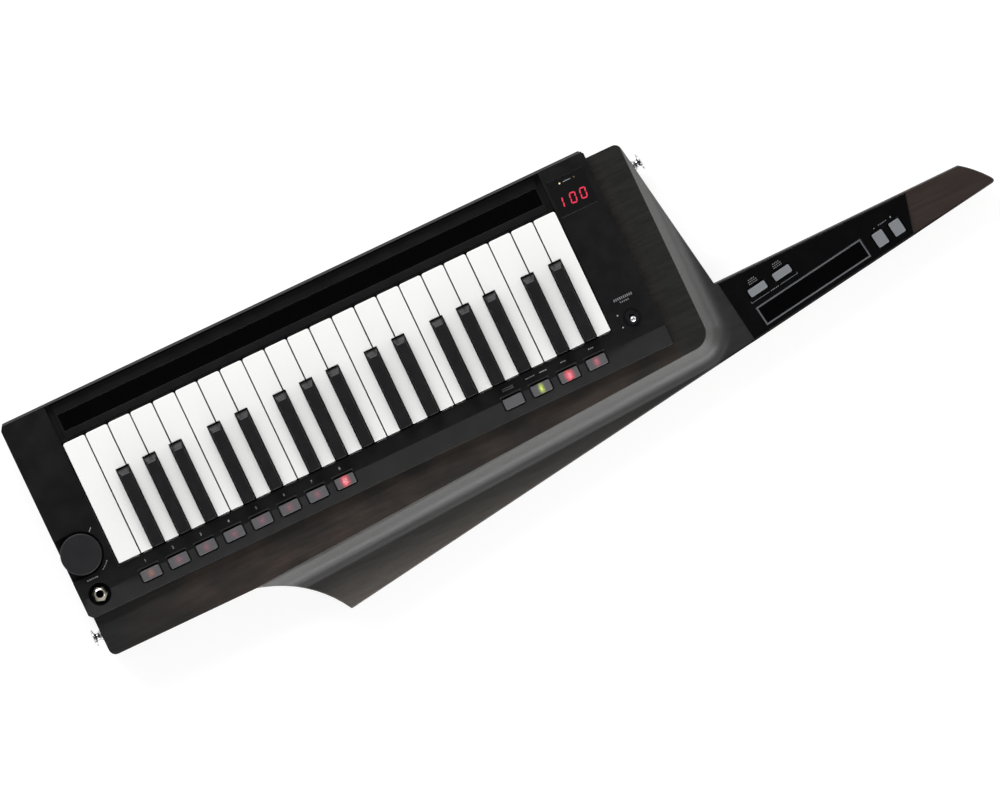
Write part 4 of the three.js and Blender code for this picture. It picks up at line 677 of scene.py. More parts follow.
# Each row: name, X of its first cap, glow, core, strength, width, height and drop of the oval
CAP_GLOWS = [
    ("grey_silicone_dim_orange", PROGRAM_START, "b8502c", "c8784a", 0.3, 10, 11, 0),
    ("grey_silicone_dim_red", PROGRAM_START, "a8304a", "b8506a", 0.26, 10, 12, 0),
    ("grey_silicone_bright_red", PROGRAM_START, "f0203a", "ff98a8", 0.95, 11, 17, 0),
    ("grey_silicone_unlit", FUNCTION_START, "000000", "000000", 0, 8, 9, 0),
    ("grey_silicone_green", FUNCTION_START, "98b81a", "d8e84c", 0.9, 7.5, 15, 0.3),
    ("grey_silicone_red", FUNCTION_START, "f0203a", "ff8098", 1.0, 12, 15, 0.5),
    ("grey_silicone_pale_red", FUNCTION_START, "d02c44", "f06880", 0.45, 9, 14, 0),
]
(
    silicone_orange, silicone_dim, silicone_bright, silicone_off, silicone_green, silicone_red,
    silicone_pale,
) = [silicone(*row) for row in CAP_GLOWS]
print("band slopes by", round(math.degrees(BAND_ANGLE), 1), "degrees")

# %% [markdown]
# The wooden body keeps its shape from the frame. Sanding has rounded its outer edges by about a
# millimetre, while the rim of the high flat stays crisper. Edges inside the well and the neck pocket
# are left as they are, because nobody sees them.

# %% Wooden body
BODY_ROUND = 1.2
RIM_ROUND = 0.5
NECK_EDGE = 1.0
SPIKE_KEEP = 1.5
RIM_SKIN = 1
WOOD_ABOVE_PLATE = 1.6
WOOD_BELOW_CAPS = 12.5
neck_low, neck_high = span("neck_panel")


def outside_wood(point):
    in_well = point.x < case_high.x and point.y > case_low.y
    in_pocket = neck_low.x - NECK_EDGE < point.x < neck_high.x + NECK_EDGE and not on_neck_edge(point)
    return not in_well and not in_pocket


NECK_TILT = math.atan2(*(centre("neck_bar_button_2") - centre("neck_bar_button_1")).yx)


def on_neck_edge(point):
    """Whether a point lies on the upper or lower outline of the neck."""
    upper = neck_high.y + WOOD_ABOVE_PLATE
    cap = centre("neck_square_button_1")
    lower = cap.y - WOOD_BELOW_CAPS + (point.x - cap.x) * math.tan(NECK_TILT)
    return point.y > upper - NECK_EDGE or point.y < lower + NECK_EDGE


def below_rim(point):
    return outside_wood(point) and point.z < HIGH_FLAT - RIM_SKIN


def on_rim(point):
    return outside_wood(point) and point.z > HIGH_FLAT - RIM_SKIN


def at_spike(point):
    return point.y < wood_low.y + SPIKE_KEEP


wood = merged_copy("wood_body", "mahogany_body")
print("body edges rounded:", soften(wood, BODY_ROUND, below_rim, 3, leave=at_spike))
print("rim edges rounded:", soften(wood, RIM_ROUND, on_rim))
# The rounding may not lift the rim above the flat
for vertex in wood.data.vertices:
    vertex.co.z = min(vertex.co.z, at(0, 0, HIGH_FLAT).z)
done(smooth(wood), mahogany, "instrument", "stained_wood", "wood_body")

# %% [markdown]
# The case is one moulding. A mould can't give a knife edge, so each outer edge has a small round
# that catches the light as a thin line. Only edges that show are rounded.

# %% Case
CASE_ROUND = 0.45
SEEN_DEPTH = 12
SIDE_SKIN = 1
JACK_HOLLOW = 9.6
TOGGLE_HOLLOW = 8.3
HOLLOW_LIP = 0.2
TOGGLE_BESIDE_KEYS = 20.1
TOGGLE_FROM_BACK = 34.2
TOGGLE_X = KEYS_END + TOGGLE_BESIDE_KEYS
TOGGLE_Y = case_low.y + TOGGLE_FROM_BACK


def seen_on_case(point):
    insets = [*(point - case_low).xy, *(case_high - point).xy]
    return point.z > CASE_TOP - SEEN_DEPTH or min(insets) < SIDE_SKIN


case = merged_copy("keyboard_panel", "case_shell")
print("case edges rounded:", soften(case, CASE_ROUND, seen_on_case, 2))


def on_fold(edge):
    """The long fold between the flat top and the sloping band stays crisp."""
    turn = edge.calc_face_angle(0)
    return BAND_ANGLE - FLAT_TURN < turn < BAND_ANGLE + FLAT_TURN


done(smooth(case, crisp=on_fold), [case_abs, painted_shade_abs], "instrument", "case_plastic", "keyboard_panel")
# Faces down in the jack's and the toggle's hollows take the second material, a painted shade
hollows = [(*centre("microphone_jack").xy, JACK_HOLLOW), (TOGGLE_X, TOGGLE_Y, TOGGLE_HOLLOW)]
for face in case.data.polygons:
    middle = drawn(face.center)
    near = any(math.hypot(middle.x - x, middle.y - y) < radius for x, y, radius in hollows)
    face.material_index = int(near and middle.z < CASE_TOP - HOLLOW_LIP)
print("faces of the hollows:", sum(face.material_index for face in case.data.polygons))

# %% [markdown]
# The neck carries a polished plate let into the wood. Its edges are broken only a little, so that the
# gloss runs right up to them. The frame's own shape is used, because the plate has no other detail.

# %% Neck plate
PLATE_ROUND = 0.3
plate = merged_copy("neck_panel", "neck_plate")
print("plate edges rounded:", soften(plate, PLATE_ROUND))
done(smooth(plate), plate_abs, "instrument", "neck_plastic", "neck_panel")

# %% [markdown]
# Under the keys lies a chassis of filled nylon. The electronics are one solid in the frame, so here
# each face takes the material of the thing that it belongs to, found by where it is: green boards,
# the milky cable, the metal pin of the power socket, and black nylon for the rest.

# %% Chassis and electronics
BOARD_LEVEL = 44
BOARD_THICK = 1.6
NECK_BOARD_LEVEL = 20
CABLE_THICK = 0.8
PIN_REACH_IN = 1.3
SOCKET_LEVEL = 32
OUTPUT_Y = 22
FIVE_PIN_Y = -2
DATA_Y = -25
POWER_Y = -44
TAIL_X = case_low.x
WELL_WALL = 6.5
WELL_RIGHT = case_high.x - WELL_WALL
SHOULDER_RUN = 22.5
CABLE_REACH = 20
CABLE_END = FLAT_RIGHT + SHOULDER_RUN + CABLE_REACH

bed = merged_copy("key_bed", "key_chassis")
done(smooth(bed), chassis_nylon, "instrument", "chassis_plastic", "key_bed")


def between(value, low, high):
    return low - HAIR < value < high + HAIR


def board_finish(point):
    """The number of the material at a point: 0 nylon, 1 solder mask, 2 cable, 3 nickel."""
    if math.hypot(point.y - POWER_Y, point.z - SOCKET_LEVEL) < PIN_REACH_IN and point.x < 0:
        return 3
    if between(point.z, NECK_BOARD_LEVEL, NECK_BOARD_LEVEL + CABLE_THICK) and point.x < CABLE_END:
        return 2
    if between(point.z, NECK_BOARD_LEVEL, NECK_BOARD_LEVEL + BOARD_THICK):
        return 1
    return int(between(point.z, BOARD_LEVEL, BOARD_LEVEL + BOARD_THICK))


board = merged_copy("main_board", "boards_and_switches")
smooth(board)
done(board, [socket_nylon, solder_mask, cable_plastic, nickel], "instrument", "circuit_board", "main_board")
for face in board.data.polygons:
    face.material_index = board_finish(drawn(face.center))
print("faces of the boards:", sum(1 for face in board.data.polygons if face.material_index == 1))

# %% [markdown]
# Every key is a moulding too. White keys have a small even round on all top edges, black keys a
# larger one, so that fingers slide over them. A loop makes each key from its own frame piece.

# %% Keys
WHITE_ROUND = 0.55
BLACK_ROUND = 0.8
KEY_SKIN = 2.4
BLACK_FOOT = 1
WHITE_SIDE_SHARE = 0.93
BLACK_SIDE_SHARE = 0.3


def matt_painted_shade_sides(key, share):
    """Gives the second material, matt and painted darker as shade, to the faces that look along the row of
    keys by more than a share.
    """
    for face in key.data.polygons:
        face.material_index = int(abs(face.normal.x) > share)


for node in sorted(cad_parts):
    if node.startswith("white_key"):
        key = merged_copy(node, node.replace("white_key", "ivory"))
        soften(key, WHITE_ROUND, lambda p: p.z > WHITE_TOP - KEY_SKIN, 3)
        done(smooth(key), [white_plastic, white_side_painted_shade], node, "ivory_plastic", node)
        matt_painted_shade_sides(key, WHITE_SIDE_SHARE)
    if node.startswith("black_key"):
        key = merged_copy(node, node.replace("black_key", "ebony"))
        soften(key, BLACK_ROUND, lambda p: p.z > WHITE_TOP + BLACK_FOOT, 3)
        done(smooth(key), [black_plastic, black_side_painted_shade], node, "black_key_plastic", node)
        matt_painted_shade_sides(key, BLACK_SIDE_SHARE)

# %% [markdown]
# Each ribbon is a plate with a film sensor let into it. The plate keeps the frame's shape with
# softer edges, and the film is a thin separate sheet lying in the plate's recess.

# %% Ribbons
RIBBON_ROUND = 0.3
FILM_ROUND = 0.1
FILM_THICK = 0.3
FILM_GAP = 0.15
FILM_SINK = 0.4
LONG_FILM_INSET = 2
LONG_FILM_START = 5.7
LONG_FILM_WIDTH = 15
SHORT_LENGTH = 103
SHORT_WIDTH = 17
SHORT_RIM = 1.2

carrier_low, carrier_high = span("long_ribbon")
carrier = merged_copy("long_ribbon", "long_ribbon_carrier")
soften(carrier, RIBBON_ROUND)
done(smooth(carrier), case_abs, "instrument", "case_plastic", "long_ribbon")
film_y = carrier_low.y + LONG_FILM_START
film_z = carrier_high.z - FILM_SINK
film_inset = LONG_FILM_INSET + FILM_GAP
film = block("long_ribbon_film",
    (carrier_low.x + film_inset, film_y + FILM_GAP, film_z),
    (carrier_high.x - film_inset, film_y + LONG_FILM_WIDTH - FILM_GAP, film_z + FILM_THICK))
soften(film, FILM_ROUND)
done(smooth(film), ribbon_film, "instrument", "ribbon_film")

rim = merged_copy("short_ribbon", "short_ribbon_rim")
soften(rim, RIBBON_ROUND)
done(smooth(rim), rim_lacquer, "instrument", "ribbon_film", "short_ribbon")
short_middle = centre("short_ribbon")
short_top = span("short_ribbon")[1].z
both_rims = 2 * (SHORT_RIM + FILM_GAP)
short_film = slab("short_ribbon_film", SHORT_LENGTH - both_rims, SHORT_WIDTH - both_rims, FILM_THICK)
put(short_film, at(short_middle.x, short_middle.y, short_top - FILM_SINK + FILM_THICK / 2),
    Matrix.Rotation(NECK_TILT, 4, "Z"))
soften(short_film, FILM_ROUND)
done(smooth(short_film), ribbon_film, "instrument", "ribbon_film")
print("neck tilts by", round(math.degrees(NECK_TILT), 1), "degrees")

# %% [markdown]
# The button caps are soft silicone, so their edges are round. The eight program caps are one strip;
# seven are lit dimly and the last one brightly, which takes a second material on its faces.

# %% Button caps
CAP_ROUND = 0.25
CAP_BEVEL_LOW = 1.0
CAP_TURN = 50
CAP_LEAST_TURN = 20
CAP_FLAT_SHARE = 0.5


def on_cap_top(point):
    """Whether a point lies on the bevelled top of a cap that stands square to the sloping band."""
    return point.z - CASE_TOP - (point.y - FOLD_Y) * math.tan(BAND_ANGLE) > CAP_BEVEL_LOW


strip = merged_copy("program_buttons", "program_caps")
soften(strip, CAP_ROUND, on_cap_top, 2, CAP_LEAST_TURN)
smooth(strip, CAP_TURN)
done(strip, [silicone_orange, silicone_dim, silicone_bright], "program_buttons", "translucent_silicone",
    "program_buttons")
first_end = x_at(PROGRAM_START + BUTTON_PITCH / 2)
last_start = x_at(PROGRAM_START + (PROGRAM_COUNT - 1) * BUTTON_PITCH - BUTTON_PITCH / 2)
for face in strip.data.polygons:
    face.material_index = 0 if face.center.x < first_end else 2 if face.center.x > last_start else 1
for i, finish in enumerate([silicone_off, silicone_green, silicone_red, silicone_pale]):
    node = f"function_button_{i + 1}"
    cap = merged_copy(node, f"function_cap_{i + 1}")
    soften(cap, CAP_ROUND, on_cap_top, 2, CAP_LEAST_TURN)
    done(smooth(cap, CAP_TURN), finish, node, "translucent_silicone", node)


def on_neck_cap(point):
    return point.z > NECK_TOP + CAP_BEVEL_LOW


for kind in ("bar", "square"):
    for i in (1, 2):
        node = f"neck_{kind}_button_{i}"
        cap = merged_copy(node, f"neck_{kind}_cap_{i}")
        soften(cap, CAP_ROUND, on_neck_cap, 2, CAP_LEAST_TURN)
        done(smooth(cap, CAP_TURN), [light_grey_abs, painted_shade_abs], node, "light_grey_plastic", node)
        # Faces off the cap's top, on its sides and below the plate, take the second material, a painted
        # shade
        for face in cap.data.polygons:
            on_top = face.normal.z > CAP_FLAT_SHARE and on_neck_cap(drawn(face.center))
            face.material_index = int(not on_top)
print("faces of the program caps:", len(strip.data.polygons))

# %% [markdown]
# A low sloping ledge stands in front of each cap. It is a block whose rear top edge is moved down,
# so that its face leans back like the band. It is shaped once and copied to every cap.

# %% Ledges in front of the caps
LEDGE_LENGTH = 19.2
LEDGE_START = 5.9
LEDGE_WIDTH = 1.7
LEDGE_RISE = 0.9
LEDGE_SINK = 0.3
LEDGE_ROUND = 0.25
LEDGE_FALL = LEDGE_WIDTH * math.tan(BAND_ANGLE)
cap_places = [PROGRAM_START + i * BUTTON_PITCH for i in range(PROGRAM_COUNT)]
cap_places += [FUNCTION_START + i * BUTTON_PITCH for i in range(FUNCTION_COUNT)]
ledge_y = BUTTON_Y + LEDGE_START
pattern_x = cap_places[0]
ledge = block("ledge", (pattern_x - LEDGE_LENGTH / 2, ledge_y, CASE_TOP - LEDGE_SINK),
    (pattern_x + LEDGE_LENGTH / 2, ledge_y + LEDGE_WIDTH, CASE_TOP + LEDGE_RISE))


def rear_top(edge):
    """Whether an edge is the ledge's upper one on the side of the caps."""
    ends = [drawn(vertex.co) for vertex in edge.verts]
    return all(end.z > CASE_TOP and end.y < ledge_y + LEDGE_WIDTH / 2 for end in ends)


only(ledge)
bpy.ops.object.mode_set(mode="EDIT")
pick(ledge, "EDGE", rear_top)
bpy.ops.transform.translate(value=(0, 0, -LEDGE_FALL * MM))
bpy.ops.object.mode_set(mode="OBJECT")
soften(ledge, LEDGE_ROUND, lambda p: p.z > CASE_TOP, 2, CAP_LEAST_TURN)
ledges = []
for x in cap_places:
    copy = twin(ledge, "ledge_copy")
    ledges.append(put(copy, Vector(((x - pattern_x) * MM, 0, 0))))
bpy.data.objects.remove(ledge)
print("ledges:", len(ledges))
done(smooth(joined("cap_ledges", ledges)), case_abs, "instrument", "case_plastic")

# %% [markdown]
# The dial is moulded plastic with a round outline: a flat top, a round shoulder and a side with
# fine grips. The outline is spun in many steps, then every second strip of the side is inset.

# %% Volume dial
DIAL_STEPS = 120
GRIP_DEPTH = 0.3
GRIP_INSET = 0.1
GRIP_START = 2
SIDE_DEPTH = 0.2
UPRIGHT_SHARE = 0.1
DIAL_FOOT = 1
DIAL_RIM = 3
dial_low, dial_high = span("volume_dial")
dial_middle = (dial_low + dial_high) / 2
DIAL_RADIUS = (dial_high.x - dial_low.x) / 2
SHOULDER = 1.1
SHOULDER_STEPS = 5
DIAL_WALL = 2.2
DIAL_HEIGHT = 14.4
DIAL_HOLLOW = 3
SPINDLE_RADIUS = 3
dial_base = dial_high.z - DIAL_HEIGHT
dial_outline = [
    (0, dial_low.z - dial_base),
    (SPINDLE_RADIUS, dial_low.z - dial_base),
    (SPINDLE_RADIUS, DIAL_HOLLOW),
    (DIAL_RADIUS - DIAL_WALL, DIAL_HOLLOW),
    (DIAL_RADIUS - DIAL_WALL, 0),
    (DIAL_RADIUS, 0),
    (DIAL_RADIUS, DIAL_FOOT),
]
for i in range(SHOULDER_STEPS + 1):
    angle = math.pi / 2 * i / SHOULDER_STEPS
    across = DIAL_RADIUS - SHOULDER * (1 - math.cos(angle))
    dial_outline.append((across, DIAL_HEIGHT - SHOULDER * (1 - math.sin(angle))))
dial_outline.append((DIAL_RADIUS - DIAL_RIM, DIAL_HEIGHT))
dial_outline.append((0, DIAL_HEIGHT))
dial = turned("dial_knob", dial_outline, DIAL_STEPS)
only(dial)
bpy.ops.object.mode_set(mode="EDIT")


def on_grip(face):
    middle = face.calc_center_median()
    strip_number = round(math.atan2(middle.y, middle.x) / (2 * math.pi) * DIAL_STEPS - 0.5)
    outer = math.hypot(middle.x, middle.y) > (DIAL_RADIUS - SIDE_DEPTH) * MM
    upright = abs(face.normal.z) < UPRIGHT_SHARE
    return upright and outer and middle.z > GRIP_START * MM and strip_number % 2 == 0


print("grips on the dial:", pick(dial, "FACE", on_grip))
bpy.ops.mesh.inset(thickness=GRIP_INSET * MM, depth=-GRIP_DEPTH * MM, use_individual=True)
bpy.ops.object.mode_set(mode="OBJECT")
put(dial, at(dial_middle.x, dial_middle.y, dial_base))
done(smooth(dial), dial_abs, "volume_dial", "dial_plastic", "volume_dial")

# %% [markdown]
# The toggle switch has a lever with a fat round end. It is spun upright round its ball and then
# leant back by ten degrees, which is how the frame has it at rest. A black ring nut lies round it.

# %% Toggle lever
TOGGLE_SINK = 4
TOGGLE_LEAN = math.radians(10)
TIP_RADIUS = 2.9
LEVER_LENGTH = 12.5
BALL_RADIUS = 2.2
STEM_RADIUS = 1.2
STEM_START = 3.2
ARC_STEPS = 6
BALL_SHARE = 0.85
lever_outline = []
for i in range(ARC_STEPS + 1):
    angle = math.pi * (BALL_SHARE * i / ARC_STEPS - 1 / 2)
    lever_outline.append((BALL_RADIUS * math.cos(angle), BALL_RADIUS * math.sin(angle)))
lever_outline.append((STEM_RADIUS, STEM_START))
lever_outline.append((TIP_RADIUS, LEVER_LENGTH - TIP_RADIUS))
for i in range(1, ARC_STEPS + 1):
    angle = math.pi / 2 * i / ARC_STEPS
    lever_outline.append((TIP_RADIUS * math.cos(angle), LEVER_LENGTH - TIP_RADIUS * (1 - math.sin(angle))))
lever = turned("lever_chrome", lever_outline)
put(lever, at(TOGGLE_X, TOGGLE_Y, CASE_TOP - TOGGLE_SINK), Matrix.Rotation(TOGGLE_LEAN, 4, "X"))
done(smooth(lever), chrome, "toggle_lever", "chrome", "toggle_lever")

RING_RADIUS = 6
RING_BORE = 4.15
RING_HEIGHT = 1.4
RING_SIDE_SHARE = 0.6
RING_SLOPE = 0.5
RING_EDGE = 0.3
DISH_FLOOR = 1.7
ring = turned("toggle_ring", [
    (RING_BORE, 0),
    (RING_RADIUS, 0),
    (RING_RADIUS, RING_HEIGHT * RING_SIDE_SHARE),
    (RING_RADIUS - RING_SLOPE, RING_HEIGHT),
    (RING_BORE + RING_EDGE, RING_HEIGHT),
    (RING_BORE, RING_HEIGHT - RING_EDGE),
    (RING_BORE, 0),
])
put(ring, at(TOGGLE_X, TOGGLE_Y, CASE_TOP - DISH_FLOOR + HAIR))
done(smooth(ring), black_steel, "instrument", "case_plastic")
print("lever leans", round(math.degrees(TOGGLE_LEAN)), "degrees, ring radius", RING_RADIUS)

# %% [markdown]
# The microphone jack shows a hexagonal nickel nut on a threaded bush. The nut is a six-sided
# cylinder with bevelled edges and a round hole cut through it. The body below is black nylon.

# %% Microphone jack
SEAT_GAP = 0.3
RECESS_DEPTH = 7
NUT_RADIUS = 6.7
NUT_HEIGHT = 3
BUSH_RADIUS = 4.7
BORE_RADIUS = 3.25
NUT_SLOPE = 1.5
NUT_SHOULDER = 0.65
NUT_FLAT_SHARE = 0.86
CASE_WALL = 2.5
BODY_GAP = 0.02
THREAD_PITCH = 0.75
THREAD_DEPTH = 0.3
BUSH_END = 0.45
BORE_EDGE = 0.15
NUT_TURN = math.radians(12)
METAL_TURN = 25
jack_low, jack_high = span("microphone_jack")
jack_x, jack_y = centre("microphone_jack").xy
recess_floor = CASE_TOP - RECESS_DEPTH


def cylinder(name, x, y, low, high, radius, sides=48):
    bpy.ops.object.select_all(action="DESELECT")
    bpy.ops.mesh.primitive_cylinder_add(vertices=sides, radius=radius * MM, depth=(high - low) * MM,
        location=at(x, y, (low + high) / 2))
    piece = bpy.context.object
    piece.name = name
    return settle(piece)


def plug(low, high, radius, steps=48):
    """A turned pin on the Z axis."""
    return turned("plug", [(0, low), (radius, low), (radius, high), (0, high)], steps)


def crowned_nut(name, height, radius, hole):
    """A hexagonal nut on the Z axis whose crown is turned to a slope, so that it catches the light."""
    nut = cylinder(name, 0, 0, 0, height, radius, 6)
    nut.data.transform(Matrix.Translation(-CORNER))
    outer = radius + OVERCUT
    crown = turned("crown", [
        (0, -OVERCUT),
        (outer, -OVERCUT),
        (outer, height - NUT_SLOPE),
        (radius * NUT_FLAT_SHARE, height - NUT_SHOULDER),
        (hole, height),
        (0, height),
    ])
    carve(nut, crown, "INTERSECT")
    return carve(nut, plug(-OVERCUT, height + OVERCUT, hole))


def threaded_bush(name, low, high, radius, bore):
    """A turned sleeve with rings cut round it, standing on the Z axis."""
    root = radius - THREAD_DEPTH
    outline = [(bore, low), (root, low)]
    rings = int((high - low - 2 * THREAD_DEPTH) / THREAD_PITCH)
    for i in range(rings):
        start = low + THREAD_DEPTH + i * THREAD_PITCH
        outline += [(root, start), (radius, start + THREAD_PITCH / 2)]
    outline += [(root, high - BUSH_END), (bore + BORE_EDGE, high), (bore, high - BORE_EDGE), (bore, low)]
    return turned(name, outline)


nut = crowned_nut("jack_nut", NUT_HEIGHT, NUT_RADIUS, BUSH_RADIUS)
put(nut, at(jack_x, jack_y, recess_floor + SEAT_GAP), Matrix.Rotation(NUT_TURN, 4, "Z"))
bush = threaded_bush("jack_bush", recess_floor - CASE_WALL, jack_high.z, BUSH_RADIUS, BORE_RADIUS)
put(bush, at(jack_x, jack_y))
jack_metal = joined("jack_nut_and_bush", [nut, bush])
done(smooth(jack_metal, METAL_TURN), nickel, "instrument", "chrome", "microphone_jack")
socket = merged_copy("microphone_jack", "jack_body")
round_about = Vector((OVERCUT, OVERCUT, OVERCUT))
upper_low = jack_low - round_about
upper_low.z = recess_floor - CASE_WALL - BODY_GAP
carve(socket, block("upper_part", upper_low, jack_high + round_about))
done(smooth(socket), socket_nylon, "instrument", "chrome")
print("faces of the nut and bush:", len(jack_metal.data.polygons))

# %% [markdown]
# Four sockets open in the tail wall. Each gets what a plug meets: the audio output a hexagonal nut
# on a bush, the five-pin socket a disc with five holes in a metal shell, the data socket a tongue.

# %% Tail sockets
SOCKET_FACE = 0.8
SHELL_THICK = 0.35
FIVE_PIN_RADIUS = 7.6
INSERT_RADIUS = 5.9
INSERT_DEPTH = 12
PIN_CIRCLE = 3.75
PIN_HOLE = 0.75
PIN_HOLE_DEPTH = 5
PIN_COUNT = 5
PIN_STEP = math.pi / 4
DATA_SIZE = 8.6
TONGUE_LENGTH = 9
TONGUE_HALF_WIDTH = DATA_SIZE / 3
TONGUE_HALF_THICK = DATA_SIZE / 5
SOCKET_INSET = 1.25
OUTPUT_NUT_RADIUS = 6.6
OUTPUT_NUT_HEIGHT = 1.1
TO_TAIL = Matrix.Rotation(-math.pi / 2, 4, "Y")


def facing_tail(piece, y, inward=0.0):
    """Lays a piece that stands on the Z axis into the tail wall, facing out."""
    return put(piece, at(TAIL_X + inward, y, SOCKET_LEVEL), TO_TAIL)


def sleeve(name, low, high, radius, hole):
    """A turned tube on the Z axis."""
    return turned(name, [(hole, low), (radius, low), (radius, high), (hole, high), (hole, low)])


output_nut = crowned_nut("output_nut", OUTPUT_NUT_HEIGHT, OUTPUT_NUT_RADIUS, BUSH_RADIUS)
facing_tail(output_nut, OUTPUT_Y, SOCKET_INSET - HAIR)
output_bush = threaded_bush("output_bush", -SOCKET_INSET - SOCKET_FACE, 0, BUSH_RADIUS, BORE_RADIUS)
facing_tail(output_bush, OUTPUT_Y)
shell_hole = FIVE_PIN_RADIUS - SHELL_THICK
shell = sleeve("shell", -INSERT_DEPTH, -SOCKET_FACE, FIVE_PIN_RADIUS - HAIR, shell_hole)
facing_tail(shell, FIVE_PIN_Y)
hardware = joined("tail_socket_metal", [output_nut, output_bush, shell])
done(smooth(hardware, METAL_TURN), nickel, "instrument", "chrome")

insert = plug(-INSERT_DEPTH, -SOCKET_FACE, INSERT_RADIUS)
for i in range(PIN_COUNT):
    angle = PIN_STEP * i
    bore = plug(-SOCKET_FACE - PIN_HOLE_DEPTH, OVERCUT, PIN_HOLE, 16)
    carve(insert, put(bore, Vector((math.sin(angle), math.cos(angle), 0)) * PIN_CIRCLE * MM))
facing_tail(insert, FIVE_PIN_Y)
data_depth = TAIL_X + INSERT_DEPTH
tongue = block("tongue",
    (data_depth - TONGUE_LENGTH, DATA_Y - TONGUE_HALF_WIDTH, SOCKET_LEVEL - TONGUE_HALF_THICK),
    (data_depth + TONGUE_LENGTH / 2, DATA_Y + TONGUE_HALF_WIDTH, SOCKET_LEVEL + TONGUE_HALF_THICK))
soften(tongue, SHELL_THICK)
inserts = joined("tail_socket_inserts", [insert, tongue])
done(smooth(inserts), socket_nylon, "instrument", "circuit_board")
print("faces of the socket inserts:", len(inserts.data.polygons))

# %% [markdown]
# The back cover is textured ABS, held by six screws that sink into it. A dish is cut for each screw
# head, and a cross is cut into each head. The battery door has grip ribs and two screws of its own.

# %% Back cover, battery door and screws
SCREW_RADIUS = 2.9
SCREW_HEAD = 1.0
DISH_RADIUS = 3.7
DISH_DEPTH = 1.3
SCREW_ROUND = 0.35
CROSS_LENGTH = 3.2
CROSS_WIDTH = 0.7
CROSS_DEPTH = 0.7
RIB_COUNT = 9
RIB_PITCH = 3
RIB_WIDTH = 1.2
RIB_LENGTH = 22
RIB_DEPTH = 0.5
DOOR_SCREW_INSET = 7
DOOR_SCREW_RADIUS = 2.2
DOOR_DISH_RADIUS = 2.9
DOOR_HEAD = 0.7
DOOR_DISH = 0.9
SCREW_TURN = math.radians(37)
COVER_ROUND = 0.5
DOOR_ROUND = 0.3
UNDERSIDE = 0.1
COVER_LEAST_TURN = 60
POST_TAIL_X = -8.35
POST_LEFT_X = -21.2
POST_RIGHT_INSET = 16.05
POST_LEFT_Y = -64.2
POST_FRONT_Y = 21.5
POST_BACK_Y = -71.2
POST_BAND_Y = -127.8
door_low, door_high = span("battery_door")
plate_low = span("back_cover")[0].z
right_post = WELL_RIGHT - POST_RIGHT_INSET
cover_screws = [
    (POST_TAIL_X, FIVE_PIN_Y),
    (POST_LEFT_X, POST_LEFT_Y),
    (right_post, POST_FRONT_Y),
    (right_post, POST_BACK_Y),
    (PROGRAM_START + BUTTON_PITCH * (PROGRAM_COUNT + 1), POST_BAND_Y),
    (FUNCTION_START + BUTTON_PITCH * FUNCTION_COUNT, POST_BAND_Y),
]
door_middle = (door_low.y + door_high.y) / 2
door_screws = [(door_low.x + DOOR_SCREW_INSET, door_middle), (door_high.x - DOOR_SCREW_INSET, door_middle)]


def cross_cutter(width, length, top, depth):
    """Two thin blocks crossed at a right angle, standing on the Z axis."""
    place = Vector((0, 0, top - depth / 2)) * MM
    return [put(slab("bar", *size, depth), place) for size in ((length, width), (width, length))]


def back_screw(radius, head):
    """A pan head with a cross recess, facing down, with its face at height zero."""
    shoulder = [(radius, -SCREW_ROUND), (radius - SCREW_ROUND, 0)]
    screw = turned("screw", [(0, -head), (radius, -head), *shoulder, (0, 0)], 32)
    for bar in cross_cutter(CROSS_WIDTH, CROSS_LENGTH, HAIR, CROSS_DEPTH):
        carve(screw, bar)
    return screw


def screwed(plate, spots, radius, depth, screw_radius, head):
    """Cuts a round dish for each screw into the underside of a plate and puts a screw in it."""
    pattern = back_screw(screw_radius, head)
    screws = []
    for i, (x, y) in enumerate(spots):
        carve(plate, cylinder("dish", x, y, plate_low - OVERCUT, plate_low + depth, radius, 32))
        lean = Matrix.Rotation(math.pi, 4, "X") @ Matrix.Rotation(i * SCREW_TURN, 4, "Z")
        screws.append(put(twin(pattern, "screw_copy"), at(x, y, plate_low + depth - head), lean))
    bpy.data.objects.remove(pattern)
    return screws


cover = merged_copy("back_cover", "back_cover_plate")
soften(cover, COVER_ROUND, lambda p: p.z < UNDERSIDE, 2, COVER_LEAST_TURN)
screws = screwed(cover, cover_screws, DISH_RADIUS, DISH_DEPTH, SCREW_RADIUS, SCREW_HEAD)
done(smooth(cover), cover_abs, "instrument", "cover_plastic", "back_cover")
door = merged_copy("battery_door", "battery_door_plate")
soften(door, DOOR_ROUND, lambda p: p.z < UNDERSIDE, 2, COVER_LEAST_TURN)
for i in range(RIB_COUNT):
    x = door_high.x - 2 * DOOR_SCREW_INSET - i * RIB_PITCH
    carve(door, block("rib", (x - RIB_WIDTH, door_middle - RIB_LENGTH / 2, plate_low - OVERCUT),
        (x, door_middle + RIB_LENGTH / 2, plate_low + RIB_DEPTH)))
screws += screwed(door, door_screws, DOOR_DISH_RADIUS, DOOR_DISH, DOOR_SCREW_RADIUS, DOOR_HEAD)
done(smooth(door), cover_abs, "instrument", "cover_plastic", "battery_door")
print("screws on the back:", len(screws))
done(smooth(joined("back_screws", screws)), black_steel, "instrument", "cover_plastic")

# %% [markdown]
# A strap pin is a turned chrome mushroom: a foot on the wood, a narrow waist for the strap and a wide
# head with a cross recess for the screwdriver. One outline is spun, and its twin serves the shoulder.

# %% Strap pins
PIN_REACH = 8.4
PIN_SCREW_LENGTH = 20
PIN_SCREW_RADIUS = 2
PIN_SEAT = 0.3
PIN_CROSS_WIDTH = 0.9
PIN_CROSS_LENGTH = 4.2
PIN_CROSS_DEPTH = 1.6
NECK_ROOT_FROM_BACK = 30.8
WOOD_FRONT_INSET = 8
PIN_FROM_FRONT = 22.5
